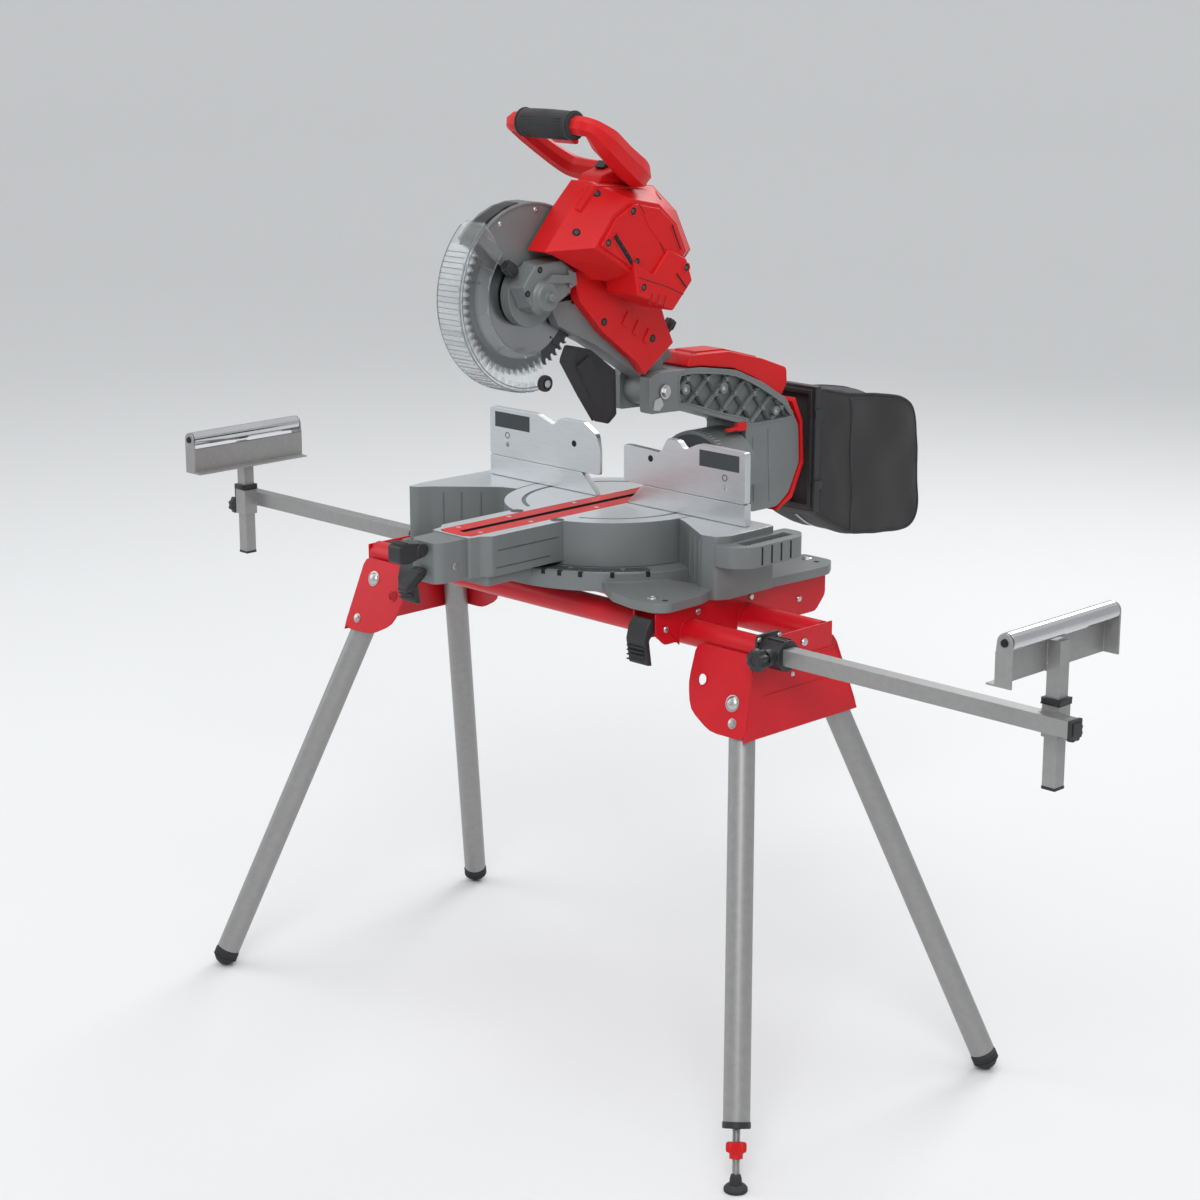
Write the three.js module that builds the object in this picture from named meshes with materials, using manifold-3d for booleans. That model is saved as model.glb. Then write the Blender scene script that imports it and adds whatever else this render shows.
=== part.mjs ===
// Sliding compound mitre saw bolted to a folding stand with telescopic roller arms.
// Millimetres, +Z up, +X along the rails, -Y towards the operator.
// The stand is drawn from the floor under the middle of the two rails, and the whole is then
// moved so that the origin is on the floor under the middle of the overall box.
// The saw is drawn in its own frame: origin on the table top at the turntable centre.
import * as THREE from 'three';
import { mergeVertices } from 'three/addons/utils/BufferGeometryUtils.js';
import { ConvexGeometry } from 'three/addons/geometries/ConvexGeometry.js';
import Module from 'manifold-3d';

const wasm = await Module();
wasm.setup();

// ---------------------------------------------------------------- driving dimensions
const GAP = 0.3; // clearance between neighbouring pieces
const RAIL = { y: 66, z: 739, radius: 20.5, bore: 18.5, end: 443 };
const ARM = { size: 25, wall: 2, inner: 373, outer: 1000 };
const POST = { x: 950, y: 39.7, size: 22, sleeve: 28, bottom: 640, top: 850 };
const ROLLER = { x: 951, z: 868.5, radius: 13.5, half: 121.5 };
const SKIRT = { topY: 89.3, topZ: 735, slope: 0.3225, length: 127, thickness: 3 };
const LEG = { lineX: 417, lineZ: 684, splay: 0.2877, radius: 20, bore: 18, stub: 12 };
const LEG_PIVOT_Z = { left: 697, right: 656 }; // staggered so that the folded legs pass
const BRACKET = { x: 265, half: 24, top: 782, sheet: 3, near: -140, far: 255 };
const SAW = { y: 57, baseHeight: 100 };
const RAILS_FROM_MIDDLE = -188.47;
const TABLE = { radius: 175, bottom: -70.5, armHalf: 58, armFront: -350 };
const FENCE = { inner: 27, outer: 290, step: 34.4, thickness: 12 };
const SLIDE = { x: 38, z: -52, radius: 12.5, front: -150, carriageFront: 196, carriageRear: 268 };
const PIVOT = { y: 75, z: 173 }; // head hinge
const BLADE = { y: -196, z: 354, radius: 127, bore: 15, half: 1, teeth: 60 };

// ---------------------------------------------------------------- materials
const finish = (color, roughness, metalness) =>
  () => new THREE.MeshStandardMaterial({ color, roughness, metalness });
const redPaint = finish(0xc81628, 0.35, 0.1);
const redPlastic = finish(0xd21f22, 0.4, 0);
const tubeSilver = finish(0xa5a09b, 0.45, 0.5);
const castGrey = finish(0x5f6668, 0.5, 0.4);
const machined = finish(0xb9c1c5, 0.3, 0.8);
const blackPlastic = finish(0x2d2d2f, 0.6, 0);
const blackRubber = finish(0x333537, 0.8, 0);
const chromeSteel = finish(0xd8dadc, 0.1, 1);
const bladeSteel = finish(0xa9abad, 0.25, 1);
const clearPlastic = finish(0xc9d3d4, 0.1, 0);
const bagCloth = finish(0x333134, 0.9, 0);

// ---------------------------------------------------------------- solids and booleans
function toSolid(geometry) {
  const bare = geometry.clone();
  bare.deleteAttribute('normal');
  bare.deleteAttribute('uv');
  const merged = mergeVertices(bare, 1e-4);
  const vertProperties = new Float32Array(merged.attributes.position.array);
  const triVerts = new Uint32Array(merged.index.array);
  return new wasm.Manifold(new wasm.Mesh({ numProp: 3, vertProperties, triVerts }));
}

function toGeometry(solid) {
  const mesh = solid.getMesh();
  const geometry = new THREE.BufferGeometry();
  geometry.setAttribute('position', new THREE.BufferAttribute(new Float32Array(mesh.vertProperties), 3));
  geometry.setIndex(new THREE.BufferAttribute(new Uint32Array(mesh.triVerts), 1));
  geometry.computeVertexNormals();
  return geometry;
}

const join = (first, ...others) => others.reduce((whole, part) => whole.add(part), first);
const cut = (first, ...tools) => tools.reduce((whole, tool) => whole.subtract(tool), first);
const common = (a, b) => a.intersect(b);

function block(x0, x1, y0, y1, z0, z1) {
  const geometry = new THREE.BoxGeometry(x1 - x0, y1 - y0, z1 - z0);
  return toSolid(geometry.translate((x0 + x1) / 2, (y0 + y1) / 2, (z0 + z1) / 2));
}

// A round bar between two points.
function rod(radius, from, to, sides = 24) {
  const a = new THREE.Vector3(...from);
  const b = new THREE.Vector3(...to);
  const axis = b.clone().sub(a);
  const geometry = new THREE.CylinderGeometry(radius, radius, axis.length(), sides);
  const turn = new THREE.Quaternion().setFromUnitVectors(new THREE.Vector3(0, 1, 0), axis.normalize());
  geometry.applyQuaternion(turn);
  return toSolid(geometry.translate(...a.add(b).multiplyScalar(0.5).toArray()));
}

const ball = (radius, [x, y, z], sides = 20) =>
  toSolid(new THREE.SphereGeometry(radius, sides, sides / 2).translate(x, y, z));
const hull = (points) => toSolid(new ConvexGeometry(points.map((p) => new THREE.Vector3(...p))));

// An outline whose corners are rounded by the given radius.
function outline(points, radius = 0) {
  const corners = points.map(([a, b]) => new THREE.Vector2(a, b));
  const shape = new THREE.Shape();
  if (radius === 0) return shape.setFromPoints(corners);
  corners.forEach((corner, i) => {
    const before = corners[(i + corners.length - 1) % corners.length];
    const after = corners[(i + 1) % corners.length];
    const towards = (other) => {
      const step = other.clone().sub(corner);
      return corner.clone().add(step.setLength(Math.min(radius, step.length() * 0.45)));
    };
    const start = towards(before);
    const stop = towards(after);
    if (i === 0) shape.moveTo(start.x, start.y);
    else shape.lineTo(start.x, start.y);
    shape.quadraticCurveTo(corner.x, corner.y, stop.x, stop.y);
  });
  shape.closePath();
  return shape;
}

// A piece of a ring about (a, b), between two radii and two angles in degrees.
function sector(a, b, inner, outer, startDeg, endDeg, steps = 24) {
  const arc = (radius, from, to) => Array.from({ length: steps + 1 }, (_, i) => {
    const angle = THREE.MathUtils.degToRad(from + ((to - from) * i) / steps);
    return [a + radius * Math.cos(angle), b + radius * Math.sin(angle)];
  });
  const inside = inner > 0 ? arc(inner, endDeg, startDeg) : [[a, b]];
  return outline([...arc(outer, startDeg, endDeg), ...inside]);
}

function extruded(shape, depth) {
  return new THREE.ExtrudeGeometry(shape, { depth, bevelEnabled: false, steps: 1, curveSegments: 2 });
}

// Slabs: the outline lies across the named axis and runs from one value to the other.
const acrossX = new THREE.Matrix4().set(0, 0, 1, 0, 1, 0, 0, 0, 0, 1, 0, 0, 0, 0, 0, 1);
const acrossY = new THREE.Matrix4().set(1, 0, 0, 0, 0, 0, -1, 0, 0, 1, 0, 0, 0, 0, 0, 1);
const shapeOf = (source, radius) => (Array.isArray(source) ? outline(source, radius) : source);
const slabX = (source, x0, x1, radius = 0) =>
  toSolid(extruded(shapeOf(source, radius), x1 - x0).applyMatrix4(acrossX).translate(x0, 0, 0));
const slabY = (source, y0, y1, radius = 0) =>
  toSolid(extruded(shapeOf(source, radius), y1 - y0).applyMatrix4(acrossY).translate(0, y1, 0));
const slabZ = (source, z0, z1, radius = 0) =>
  toSolid(extruded(shapeOf(source, radius), z1 - z0).translate(0, 0, z0));
const mirroredX = (points) => points.map(([x, other]) => [-x, other]).reverse();

const wholeThing = new THREE.Group();
wholeThing.position.y = RAILS_FROM_MIDDLE;
const saw = new THREE.Group();
saw.position.set(0, SAW.y, BRACKET.top + SAW.baseHeight);
wholeThing.add(saw);

function piece(name, solid, material, parent = wholeThing) {
  const mesh = new THREE.Mesh(toGeometry(solid), material());
  mesh.name = name;
  parent.add(mesh);
}

// Pieces of the left end are the right-hand ones turned half round the vertical axis.
function endGroup(side) {
  const group = new THREE.Group();
  if (side === 'left') group.rotation.z = Math.PI;
  wholeThing.add(group);
  return group;
}

// ---------------------------------------------------------------- stand: rails and ends
for (const [name, sign] of [['rail_front', -1], ['rail_back', 1]]) {
  const y = sign * RAIL.y;
  const tube = cut(
    rod(RAIL.radius, [-RAIL.end, y, RAIL.z], [RAIL.end, y, RAIL.z], 28),
    rod(RAIL.bore, [-RAIL.end - 1, y, RAIL.z], [RAIL.end + 1, y, RAIL.z], 28),
  );
  piece(name, tube, redPaint);
}

const skirtY = (z) => SKIRT.topY + (SKIRT.topZ - z) * SKIRT.slope;
const legY = (z) => skirtY(z) - (LEG.radius + GAP) * Math.hypot(1, SKIRT.slope);
const legX = (z) => LEG.lineX + (LEG.lineZ - z) * LEG.splay;
const squareHole = (x0, x1, y, half) => block(x0, x1, y - half, y + half, RAIL.z - half, RAIL.z + half);

function endBracket() {
  const plateX = RAIL.end + GAP;
  const sheet = SKIRT.thickness;
  const low = 612;
  const kneeZ = 716;
  const slant = 16;
  const lean = Math.atan(SKIRT.slope);
  const skirtOutline = outline([
    [plateX + sheet, 0], [plateX + sheet + slant, -SKIRT.length], [392, -SKIRT.length],
    [345, -102], [330, -62], [330, 0],
  ], 14);
  const skirts = [-1, 1].map((sign) => {
    const flat = extruded(skirtOutline, sheet).applyMatrix4(acrossY);
    flat.translate(0, sign < 0 ? 0 : sheet, 0);
    flat.rotateX(sign * lean);
    flat.translate(0, sign * SKIRT.topY, SKIRT.topZ);
    return toSolid(flat);
  });
  const lockHoleZ = 685;
  const lockHoles = [-1, 1].map((sign) =>
    rod(9, [357, sign * (skirtY(lockHoleZ) - 12), lockHoleZ], [357, sign * (skirtY(lockHoleZ) + 12), lockHoleZ], 14));
  const upper = block(plateX, plateX + sheet, -86, 86, kneeZ - 4, 757);
  const sloping = slabY([
    [plateX, kneeZ], [plateX + sheet, kneeZ], [plateX + sheet + slant, low], [plateX + slant, low],
  ], -140, 140);
  const trapezoid = slabX([
    [-skirtY(low) - 2, low], [skirtY(low) + 2, low], [skirtY(kneeZ) + 2, kneeZ], [-skirtY(kneeZ) - 2, kneeZ],
  ], 430, 470);
  const body = join(upper, common(sloping, trapezoid), ...skirts);
  const armHole = squareHole(plateX - 5, plateX + 8, -RAIL.y, ARM.size / 2 + GAP);
  return cut(body, armHole, ...lockHoles);
}

function railCap() {
  const x = RAIL.end + SKIRT.thickness + 2 * GAP;
  const flange = slabX([
    [-RAIL.y - 26, 720], [-RAIL.y + 26, 720], [-RAIL.y + 26, 768], [-RAIL.y - 26, 768],
  ], x, x + 5, 6);
  const barrel = rod(24, [x + 4, -RAIL.y, RAIL.z], [x + 44, -RAIL.y, RAIL.z], 24);
  const boss = rod(13, [x + 26, -RAIL.y - 10, RAIL.z], [x + 26, -RAIL.y - 34, RAIL.z], 18);
  return cut(join(flange, barrel, boss), squareHole(x - 1, x + 60, -RAIL.y, ARM.size / 2 + GAP));
}

// A knob with finger lobes: axis, outer face and base given as points.
function starKnob(from, to, radius, lobes = 8) {
  const body = rod(radius, from, to, 24);
  const a = new THREE.Vector3(...from);
  const axis = new THREE.Vector3(...to).sub(a).normalize();
  const side = new THREE.Vector3(0, 0, 1).cross(axis).normalize();
  const notches = Array.from({ length: lobes }, (_, i) => {
    const spoke = side.clone().applyAxisAngle(axis, (i * 2 * Math.PI) / lobes).multiplyScalar(radius + 2);
    const start = a.clone().add(spoke).addScaledVector(axis, 4);
    const stop = new THREE.Vector3(...to).add(spoke).addScaledVector(axis, 1);
    return rod(4, start.toArray(), stop.toArray(), 8);
  });
  return cut(body, ...notches);
}

function extensionArm() {
  const half = ARM.size / 2;
  const hollow = half - ARM.wall;
  const tube = cut(
    block(ARM.inner, ARM.outer, -RAIL.y - half, -RAIL.y + half, RAIL.z - half, RAIL.z + half),
    squareHole(ARM.inner - 1, ARM.outer - 8, -RAIL.y, hollow),
  );
  const sleeveHalf = POST.sleeve / 2;
  const sleeve = block(POST.x - sleeveHalf, POST.x + sleeveHalf,
    -POST.y - sleeveHalf, -POST.y + sleeveHalf, 712, 766);
  const slot = POST.size / 2 + GAP;
  return cut(join(tube, sleeve),
    block(POST.x - slot, POST.x + slot, -POST.y - slot, -POST.y + slot, 700, 780));
}

function rollerStand() {
  const half = POST.size / 2;
  const hollow = half - 2;
  const post = cut(
    block(POST.x - half, POST.x + half, -POST.y - half, -POST.y + half, POST.bottom, POST.top),
    block(POST.x - hollow, POST.x + hollow, -POST.y - hollow, -POST.y + hollow,
      POST.bottom - 1, POST.top - 3),
  );
  const reach = ROLLER.half + 1;
  const web = block(936, 939.2, -POST.y - reach - 3, -POST.y + reach + 3, 806, 853);
  const lip = block(922, 938, -POST.y - reach - 3, -POST.y + reach + 3, 806, 809);
  const ears = [-1, 1].map((sign) => {
    const y = -POST.y + sign * (reach + 1.5);
    const cheek = slabY([[936, 806], [964, 806], [964, ROLLER.z], [938, ROLLER.z], [936, 850]], y - 1.5, y + 1.5);
    const crown = rod(13, [ROLLER.x, y - 1.5, ROLLER.z], [ROLLER.x, y + 1.5, ROLLER.z], 24);
    return cut(join(cheek, crown), rod(5.4, [ROLLER.x, y - 3, ROLLER.z], [ROLLER.x, y + 3, ROLLER.z], 14));
  });
  return join(post, web, lip, ...ears);
}

function roller() {
  const y = -POST.y;
  const tube = rod(ROLLER.radius, [ROLLER.x, y - ROLLER.half, ROLLER.z], [ROLLER.x, y + ROLLER.half, ROLLER.z], 32);
  const axle = rod(5, [ROLLER.x, y - ROLLER.half - 6, ROLLER.z], [ROLLER.x, y + ROLLER.half + 6, ROLLER.z], 14);
  return join(tube, axle);
}

for (const side of ['left', 'right']) {
  const end = endGroup(side);
  const capFace = RAIL.end + SKIRT.thickness + 2 * GAP + 26;
  piece(`end_bracket_${side}`, endBracket(), redPaint, end);
  piece(`rail_cap_${side}`, railCap(), blackPlastic, end);
  piece(`extension_arm_${side}`, extensionArm(), tubeSilver, end);
  piece(`roller_stand_${side}`, rollerStand(), tubeSilver, end);
  piece(`roller_${side}`, roller(), chromeSteel, end);
  piece(`arm_lock_knob_${side}`,
    starKnob([capFace, -RAIL.y - 34.3, RAIL.z], [capFace, -RAIL.y - 58, RAIL.z], 18), blackPlastic, end);
  const sleeveFace = POST.x + POST.sleeve / 2 + GAP;
  piece(`post_lock_knob_${side}`,
    starKnob([sleeveFace, -36, 725], [sleeveFace + 20, -36, 725], 16.5), blackPlastic, end);
}

// ---------------------------------------------------------------- stand: legs
const along = (point, direction, distance) => point.clone().addScaledVector(direction, distance).toArray();

for (const [row, rowSign] of [['front', -1], ['back', 1]]) {
  for (const [side, sideSign] of [['left', -1], ['right', 1]]) {
    const pivotZ = LEG_PIVOT_Z[side];
    const pivot = new THREE.Vector3(sideSign * legX(pivotZ), rowSign * legY(pivotZ), pivotZ);
    const foot = new THREE.Vector3(sideSign * legX(LEG.radius), rowSign * legY(LEG.radius), LEG.radius);
    const down = foot.clone().sub(pivot).normalize();
    const levelling = row === 'front' && side === 'right';
    const tubeEnd = levelling ? -72 : -12 - GAP;
    const tube = cut(
      rod(LEG.radius, along(pivot, down, -LEG.stub), along(foot, down, tubeEnd), 24),
      rod(LEG.bore, along(pivot, down, -LEG.stub - 1), along(foot, down, tubeEnd + 1), 24),
    );
    piece(`leg_${row}_${side}`, tube, tubeSilver);
    if (levelling) {
      const stud = rod(6, along(foot, down, -110), along(foot, down, -2), 14);
      const knob = rod(15, along(foot, down, -52), along(foot, down, -36), 20);
      const neck = rod(10, along(foot, down, -36.5), along(foot, down, -28), 16);
      const pad = rod(17, [foot.x, foot.y, 0], [foot.x, foot.y, 9], 24);
      const ankle = rod(8, [foot.x, foot.y, 8], [foot.x, foot.y, 22], 16);
      piece('levelling_foot', join(stud, knob, neck, pad, ankle), blackRubber);
    } else {
      const plug = rod(LEG.bore - GAP, along(foot, down, -40), along(foot, down, -11), 24);
      const collar = rod(LEG.radius, along(foot, down, -12), foot.toArray(), 24);
      piece(`foot_${row}_${side}`, join(plug, collar, ball(LEG.radius, foot.toArray(), 14)), blackRubber);
    }
  }
}

// ---------------------------------------------------------------- stand: saw mounting brackets
function mountBracket(x) {
  const { half, top, sheet, near, far } = BRACKET;
  const side = [
    [near, top], [near, 745], [near + 20, 727], [-92, 727], [-88, 721], [88, 721], [92, 716],
    [232, 716], [far, 740], [far, top],
  ];
  const shell = cut(slabX(side, x - half, x + half, 6),
    slabX([[near - 9, 700], [far + 9, 700], [far + 9, top - sheet], [near - 9, top - sheet]],
      x - half + sheet, x + half - sheet));
  const saddles = [-1, 1].flatMap((sign) => [
    rod(RAIL.radius + GAP, [x - half - 1, sign * RAIL.y, RAIL.z], [x + half + 1, sign * RAIL.y, RAIL.z], 28),
    block(x - half - 1, x + half + 1, sign * RAIL.y - 20.8, sign * RAIL.y + 20.8, 700, RAIL.z),
  ]);
  const boltSlots = [[-135, -98], [212, 246], [20, 60]].map(([y0, y1]) => block(x - 5, x + 5, y0, y1, 770, 790));
  return cut(shell, ...saddles, ...boltSlots);
}

function bracketLever(x) {
  const side = [
    [-119, 757], [-140.5, 771], [-146, 771], [-155, 758], [-160, 738], [-153, 700], [-143, 698],
    [-149, 738], [-140.5, 748], [-119, 743],
  ];
  return slabX(side, x - 20, x + 20);
}

for (const [side, sign] of [['left', -1], ['right', 1]]) {
  piece(`mount_bracket_${side}`, mountBracket(sign * BRACKET.x), redPaint);
  piece(`bracket_lever_${side}`, bracketLever(sign * BRACKET.x), blackPlastic);
}

// ---------------------------------------------------------------- saw: base casting
const BASE_BOTTOM = -SAW.baseHeight;
const upright = (radius, x, y, z0, z1, sides = 24) => rod(radius, [x, y, z0], [x, y, z1], sides);

function baseCasting() {
  const leftWing = [
    [-150, 20], [-170, 32], [-202, 45], [-312, 45], [-318, -130], [-312, -166], [-298, -160], [-284, -140],
    [-198, -61], [-150, -45],
  ];
  const rightWing = [[150, 45], [150, -16], [194, -34], [276, -84], [302, -80], [314, -58], [312, 45]];
  const wings = [leftWing, rightWing].map((points) => slabZ(points, BASE_BOTTOM, 0, 5));
  const plate = upright(216, 0, 0, BASE_BOTTOM, -88, 56);
  const scaleRing = common(cut(upright(216, 0, 0, -90, -71, 56), upright(150, 0, 0, -95, -60, 48)),
    block(-230, 230, -230, 44, -100, -60));
  const hub = upright(30, 0, 0, -90, -71);
  const frontFoot = [[120, -150], [195, -196], [245, -206], [290, -204], [306, -184], [304, -110], [286, -60], [180, -80]];
  const backFoot = [[150, 30], [308, 30], [316, 120], [318, 172], [296, 204], [238, 204], [226, 150]];
  const feet = [frontFoot, backFoot].flatMap((points) =>
    [points, mirroredX(points)].map((p) => slabZ(p, BASE_BOTTOM, -85, 8)));
  const handle = [[300, -84], [334, -78], [356, -52], [356, 58], [336, 82], [300, 82]];
  const grips = [handle, mirroredX(handle)].map((p) => slabZ(p, -46, -12, 8));
  const body = join(plate, ...wings, scaleRing, hub, ...feet, ...grips);
  const well = upright(TABLE.radius + 2, 0, 0, -70.9, 10, 56);
  const fingerGaps = [-1, 1].map((sign) => {
    const [x0, x1] = sign > 0 ? [319, 339] : [-339, -319];
    return block(x0, x1, -52, 58, -60, 0);
  });
  const boltHoles = [-1, 1].flatMap((sx) => [-1, 1].map((sy) => upright(6, sx * BRACKET.x, sy * 180, -110, -80, 12)));
  return cut(body, well, ...fingerGaps, ...boltHoles);
}
piece('base_casting', baseCasting(), castGrey, saw);

// ---------------------------------------------------------------- saw: turntable
function turntable() {
  const disc = upright(TABLE.radius, 0, 0, TABLE.bottom, 0, 56);
  const arm = slabZ([
    [-TABLE.armHalf, -90], [-TABLE.armHalf, -318], [-46, -330], [-42, -352], [42, -352], [46, -330],
    [TABLE.armHalf, -318], [TABLE.armHalf, -90],
  ], -64, 0, 4);
  const belly = slabZ([[-50, -224], [-50, -322], [50, -322], [50, -224]], -80, -60, 6);
  const housing = slabZ([[-34, -345], [-32, -396], [-24, -408], [24, -408], [32, -396], [34, -345]], -66, -2, 5);
  const body = join(disc, arm, belly, housing);
  const platePocket = slabZ([[-35.4, -340], [-22, -347], [22, -347], [35.4, -340], [35.4, 135.4], [-35.4, 135.4]], -3.3, 5);
  const bladeTrough = block(-30, 30, -338, 126, -36, 5);
  const ringGroove = cut(upright(146, 0, 0, -1.6, 5, 56), upright(140, 0, 0, -3, 6, 56));
  const bores = [-1, 1].map((sign) =>
    rod(SLIDE.radius + GAP, [sign * SLIDE.x, SLIDE.front - 4, SLIDE.z], [sign * SLIDE.x, 190, SLIDE.z], 20));
  const grooveKept = cut(ringGroove, block(-TABLE.armHalf, TABLE.armHalf, -200, 0, -5, 10));
  return cut(body, platePocket, bladeTrough, grooveKept, ...bores);
}
piece('turntable', turntable(), castGrey, saw);

const kerfPlate = cut(
  slabZ([[-35, -339], [-22, -346], [22, -346], [35, -339], [35, 135], [-35, 135]], -3, 0, 6),
  block(-6, 6, -328, 118, -5, 5),
);
piece('kerf_plate', kerfPlate, redPlastic, saw);

const mitreHandle = join(
  rod(11, [-15, -420, -12], [15, -420, -12], 20),
  slabX([[-420, -1], [-420, -23], [-448, -30], [-466, -27], [-466, 0], [-445, 3]], -14, 14, 4),
);
piece('mitre_lock_handle', mitreHandle, blackPlastic, saw);
const detentLever = join(
  rod(7, [-11, -416, -48], [11, -416, -48], 16),
  slabX([[-416, -41], [-414, -55], [-440, -74], [-452, -74], [-452, -67], [-440, -58]], -10, 10),
);
piece('detent_lever', detentLever, blackPlastic, saw);

// ---------------------------------------------------------------- saw: fences
const lowerFence = [[34, 0.4], [FENCE.outer, 0.4], [FENCE.outer, FENCE.step], [70, FENCE.step]];
const upperFenceRight = [
  [FENCE.inner, 34.9], [FENCE.outer, 34.9], [FENCE.outer, 117], [191, 118], [160, 104], [147, 117],
  [123, 118], [109, 93], [FENCE.inner, 96],
];
const upperFenceLeft = [
  [-FENCE.inner, 34.9], [-FENCE.inner, 76], [-36, 100], [-66, 118], [-122, 118], [-136, 104],
  [-177, 118], [-FENCE.outer, 117], [-FENCE.outer, 34.9],
];
const fenceHole = (x, z) => rod(4, [x, -5, z], [x, 30, z], 12);
const slantedEnds = (sign) => slabZ([
  [sign * 20, 2], [sign * 20, 20], [sign * 55, 20],
], -1, 130);
for (const [side, sign, upper] of [['left', -1, upperFenceLeft], ['right', 1, upperFenceRight]]) {
  const lowerPoints = sign > 0 ? lowerFence : mirroredX(lowerFence);
  const lower = slabY(lowerPoints, 0, FENCE.thickness + 2);
  piece(`fence_lower_${side}`, cut(lower, slantedEnds(sign)), machined, saw);
  const top = slabY(upper, 0, FENCE.thickness, 5);
  const slider = cut(top, slantedEnds(sign), fenceHole(sign * 87, 80), fenceHole(sign * 247, 56));
  piece(`fence_upper_${side}`, slider, machined, saw);
}

// ---------------------------------------------------------------- saw: slide and bevel
for (const [side, sign] of [['left', -1], ['right', 1]]) {
  const x = sign * SLIDE.x;
  piece(`slide_rail_${side}`,
    rod(SLIDE.radius, [x, SLIDE.front, SLIDE.z], [x, SLIDE.carriageFront - GAP, SLIDE.z], 20), chromeSteel, saw);
}

function slideCarriage() {
  const { carriageFront: front, carriageRear: rear } = SLIDE;
  const drum = common(rod(86, [0, front, 0], [0, rear, 0], 48), block(-90, 90, front - 1, rear + 1, 0.5, 90));
  const foot = slabY([[-55, -80], [55, -80], [55, -24], [40, 1], [-40, 1], [-55, -24]], front, rear, 5);
  const pin = rod(14, [0, rear - 1, 0], [0, 320, 0], 20);
  return join(drum, foot, pin);
}
piece('slide_carriage', slideCarriage(), castGrey, saw);

function bevelArm() {
  const side = [
    [41, 140], [41, 200], [62, 206], [166, 202], [249, 188], [315, 160], [376, 125], [408, 75], [412, 10],
    [386, -40], [356, -60], [290, -60], [274, -40], [274, 92], [211, 112], [134, 136],
  ];
  const body = slabX(side, -45, 45, 6);
  const clevis = block(-22.5, 22.5, 20, 105, 120, 220);
  const pocketOutline = outline([
    [112, 148], [112, 194], [166, 193], [246, 179], [308, 152], [364, 119], [390, 92], [286, 92], [280, 101], [213, 120], [136, 145],
  ], 4);
  const pockets = [slabX(pocketOutline, 33, 46), slabX(pocketOutline, -46, -33)];
  const bore = rod(14 + GAP, [0, 270, 0], [0, 321, 0], 20);
  const hingeBore = rod(8.3, [-50, PIVOT.y, PIVOT.z], [50, PIVOT.y, PIVOT.z], 16);
  return cut(body, clevis, ...pockets, bore, hingeBore);
}
piece('bevel_arm', bevelArm(), castGrey, saw);

const ductCover = join(
  slabX([[136, 204], [168, 203], [250, 189.5], [300, 168.5], [372, 128.5], [386, 150], [384, 176], [323, 198], [239, 220], [146, 224]],
    -38, 38, 5),
);
piece('duct_cover', ductCover, redPlastic, saw);
const rearPlate = slabX([
  [388, 118], [409.5, 80], [413.6, 10], [387, -42], [358, -61.5], [352, -67], [392, -50], [421, 8], [416, 82], [396, 124],
], -48, 48);
piece('rear_plate', rearPlate, redPlastic, saw);
const hingePin = rod(8, [-48, PIVOT.y, PIVOT.z], [48, PIVOT.y, PIVOT.z], 16);
piece('head_hinge_pin', hingePin, chromeSteel, saw);
const dustBag = slabX([
  [424, 146], [520, 122], [680, 98], [718, 56], [730, -148], [700, -160], [533, -141], [430, -84],
], -70, 70, 18);
piece('dust_bag', dustBag, bagCloth, saw);

// ---------------------------------------------------------------- saw: head casting and guards
const bladeAxis = (radius, x0, x1, sides = 24) =>
  rod(radius, [x0, BLADE.y, BLADE.z], [x1, BLADE.y, BLADE.z], sides);
const bladeSector = (inner, outer, from, to, steps) => sector(BLADE.y, BLADE.z, inner, outer, from, to, steps);

function headCasting() {
  const knuckle = rod(26, [-22, PIVOT.y, PIVOT.z], [22, PIVOT.y, PIVOT.z], 24);
  const spine = slabX([
    [60, 190], [20, 215], [-60, 262], [-140, 300], [-160, 338], [-44, 338], [40, 335], [90, 262], [100, 180],
  ], -22, 22);
  const lug = slabX([[80, 196], [92, 246], [112, 246], [130, 222], [104, 209]], -10, 10);
  const bladeRoom = join(bladeAxis(131, -30, 3.5, 48), slabX(bladeSector(86, 153, -14, 12, 6), -31, 23));
  const gearHub = bladeAxis(50, 3.5, 22, 32);
  const body = join(cut(join(knuckle, spine), bladeRoom), gearHub, lug);
  return cut(body, rod(8.3, [-50, PIVOT.y, PIVOT.z], [50, PIVOT.y, PIVOT.z], 16));
}
piece('head_casting', headCasting(), castGrey, saw);

function upperGuard() {
  const nearWall = slabX(bladeSector(52, 142, -5, 140, 16), 13, 16);
  const farWall = slabX(bladeSector(36, 142, -40, 140, 16), -25.3, -22.4);
  const rim = slabX(bladeSector(138, 142, -5, 140, 16), -23, 14);
  return join(nearWall, farWall, rim);
}
piece('upper_guard', upperGuard(), castGrey, saw);

function lowerGuard() {
  const from = 130;
  const to = 282;
  const rim = slabX(bladeSector(146, 150, from, to, 20), -29, 21);
  const nearWall = slabX(bladeSector(88, 150, from, to, 20), 19, 22);
  const farWall = slabX(bladeSector(25, 150, from, to, 20), -30.3, -27.3);
  const hub = bladeAxis(34, -30.3, -27.3, 24);
  const axleAngle = THREE.MathUtils.degToRad(278);
  const axleY = BLADE.y + 140 * Math.cos(axleAngle);
  const axleZ = BLADE.z + 140 * Math.sin(axleAngle);
  const axle = rod(3.5, [21, axleY, axleZ], [37, axleY, axleZ], 12);
  const wheel = cut(rod(13, [24, axleY, axleZ], [34, axleY, axleZ], 24), rod(3.8, [20, axleY, axleZ], [40, axleY, axleZ], 12));
  return { shell: cut(join(rim, nearWall, farWall, hub, axle), bladeAxis(16, -40, -20)), wheel };
}
const guard = lowerGuard();
piece('lower_guard', guard.shell, clearPlastic, saw);
piece('guard_roller', guard.wheel, blackRubber, saw);

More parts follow.
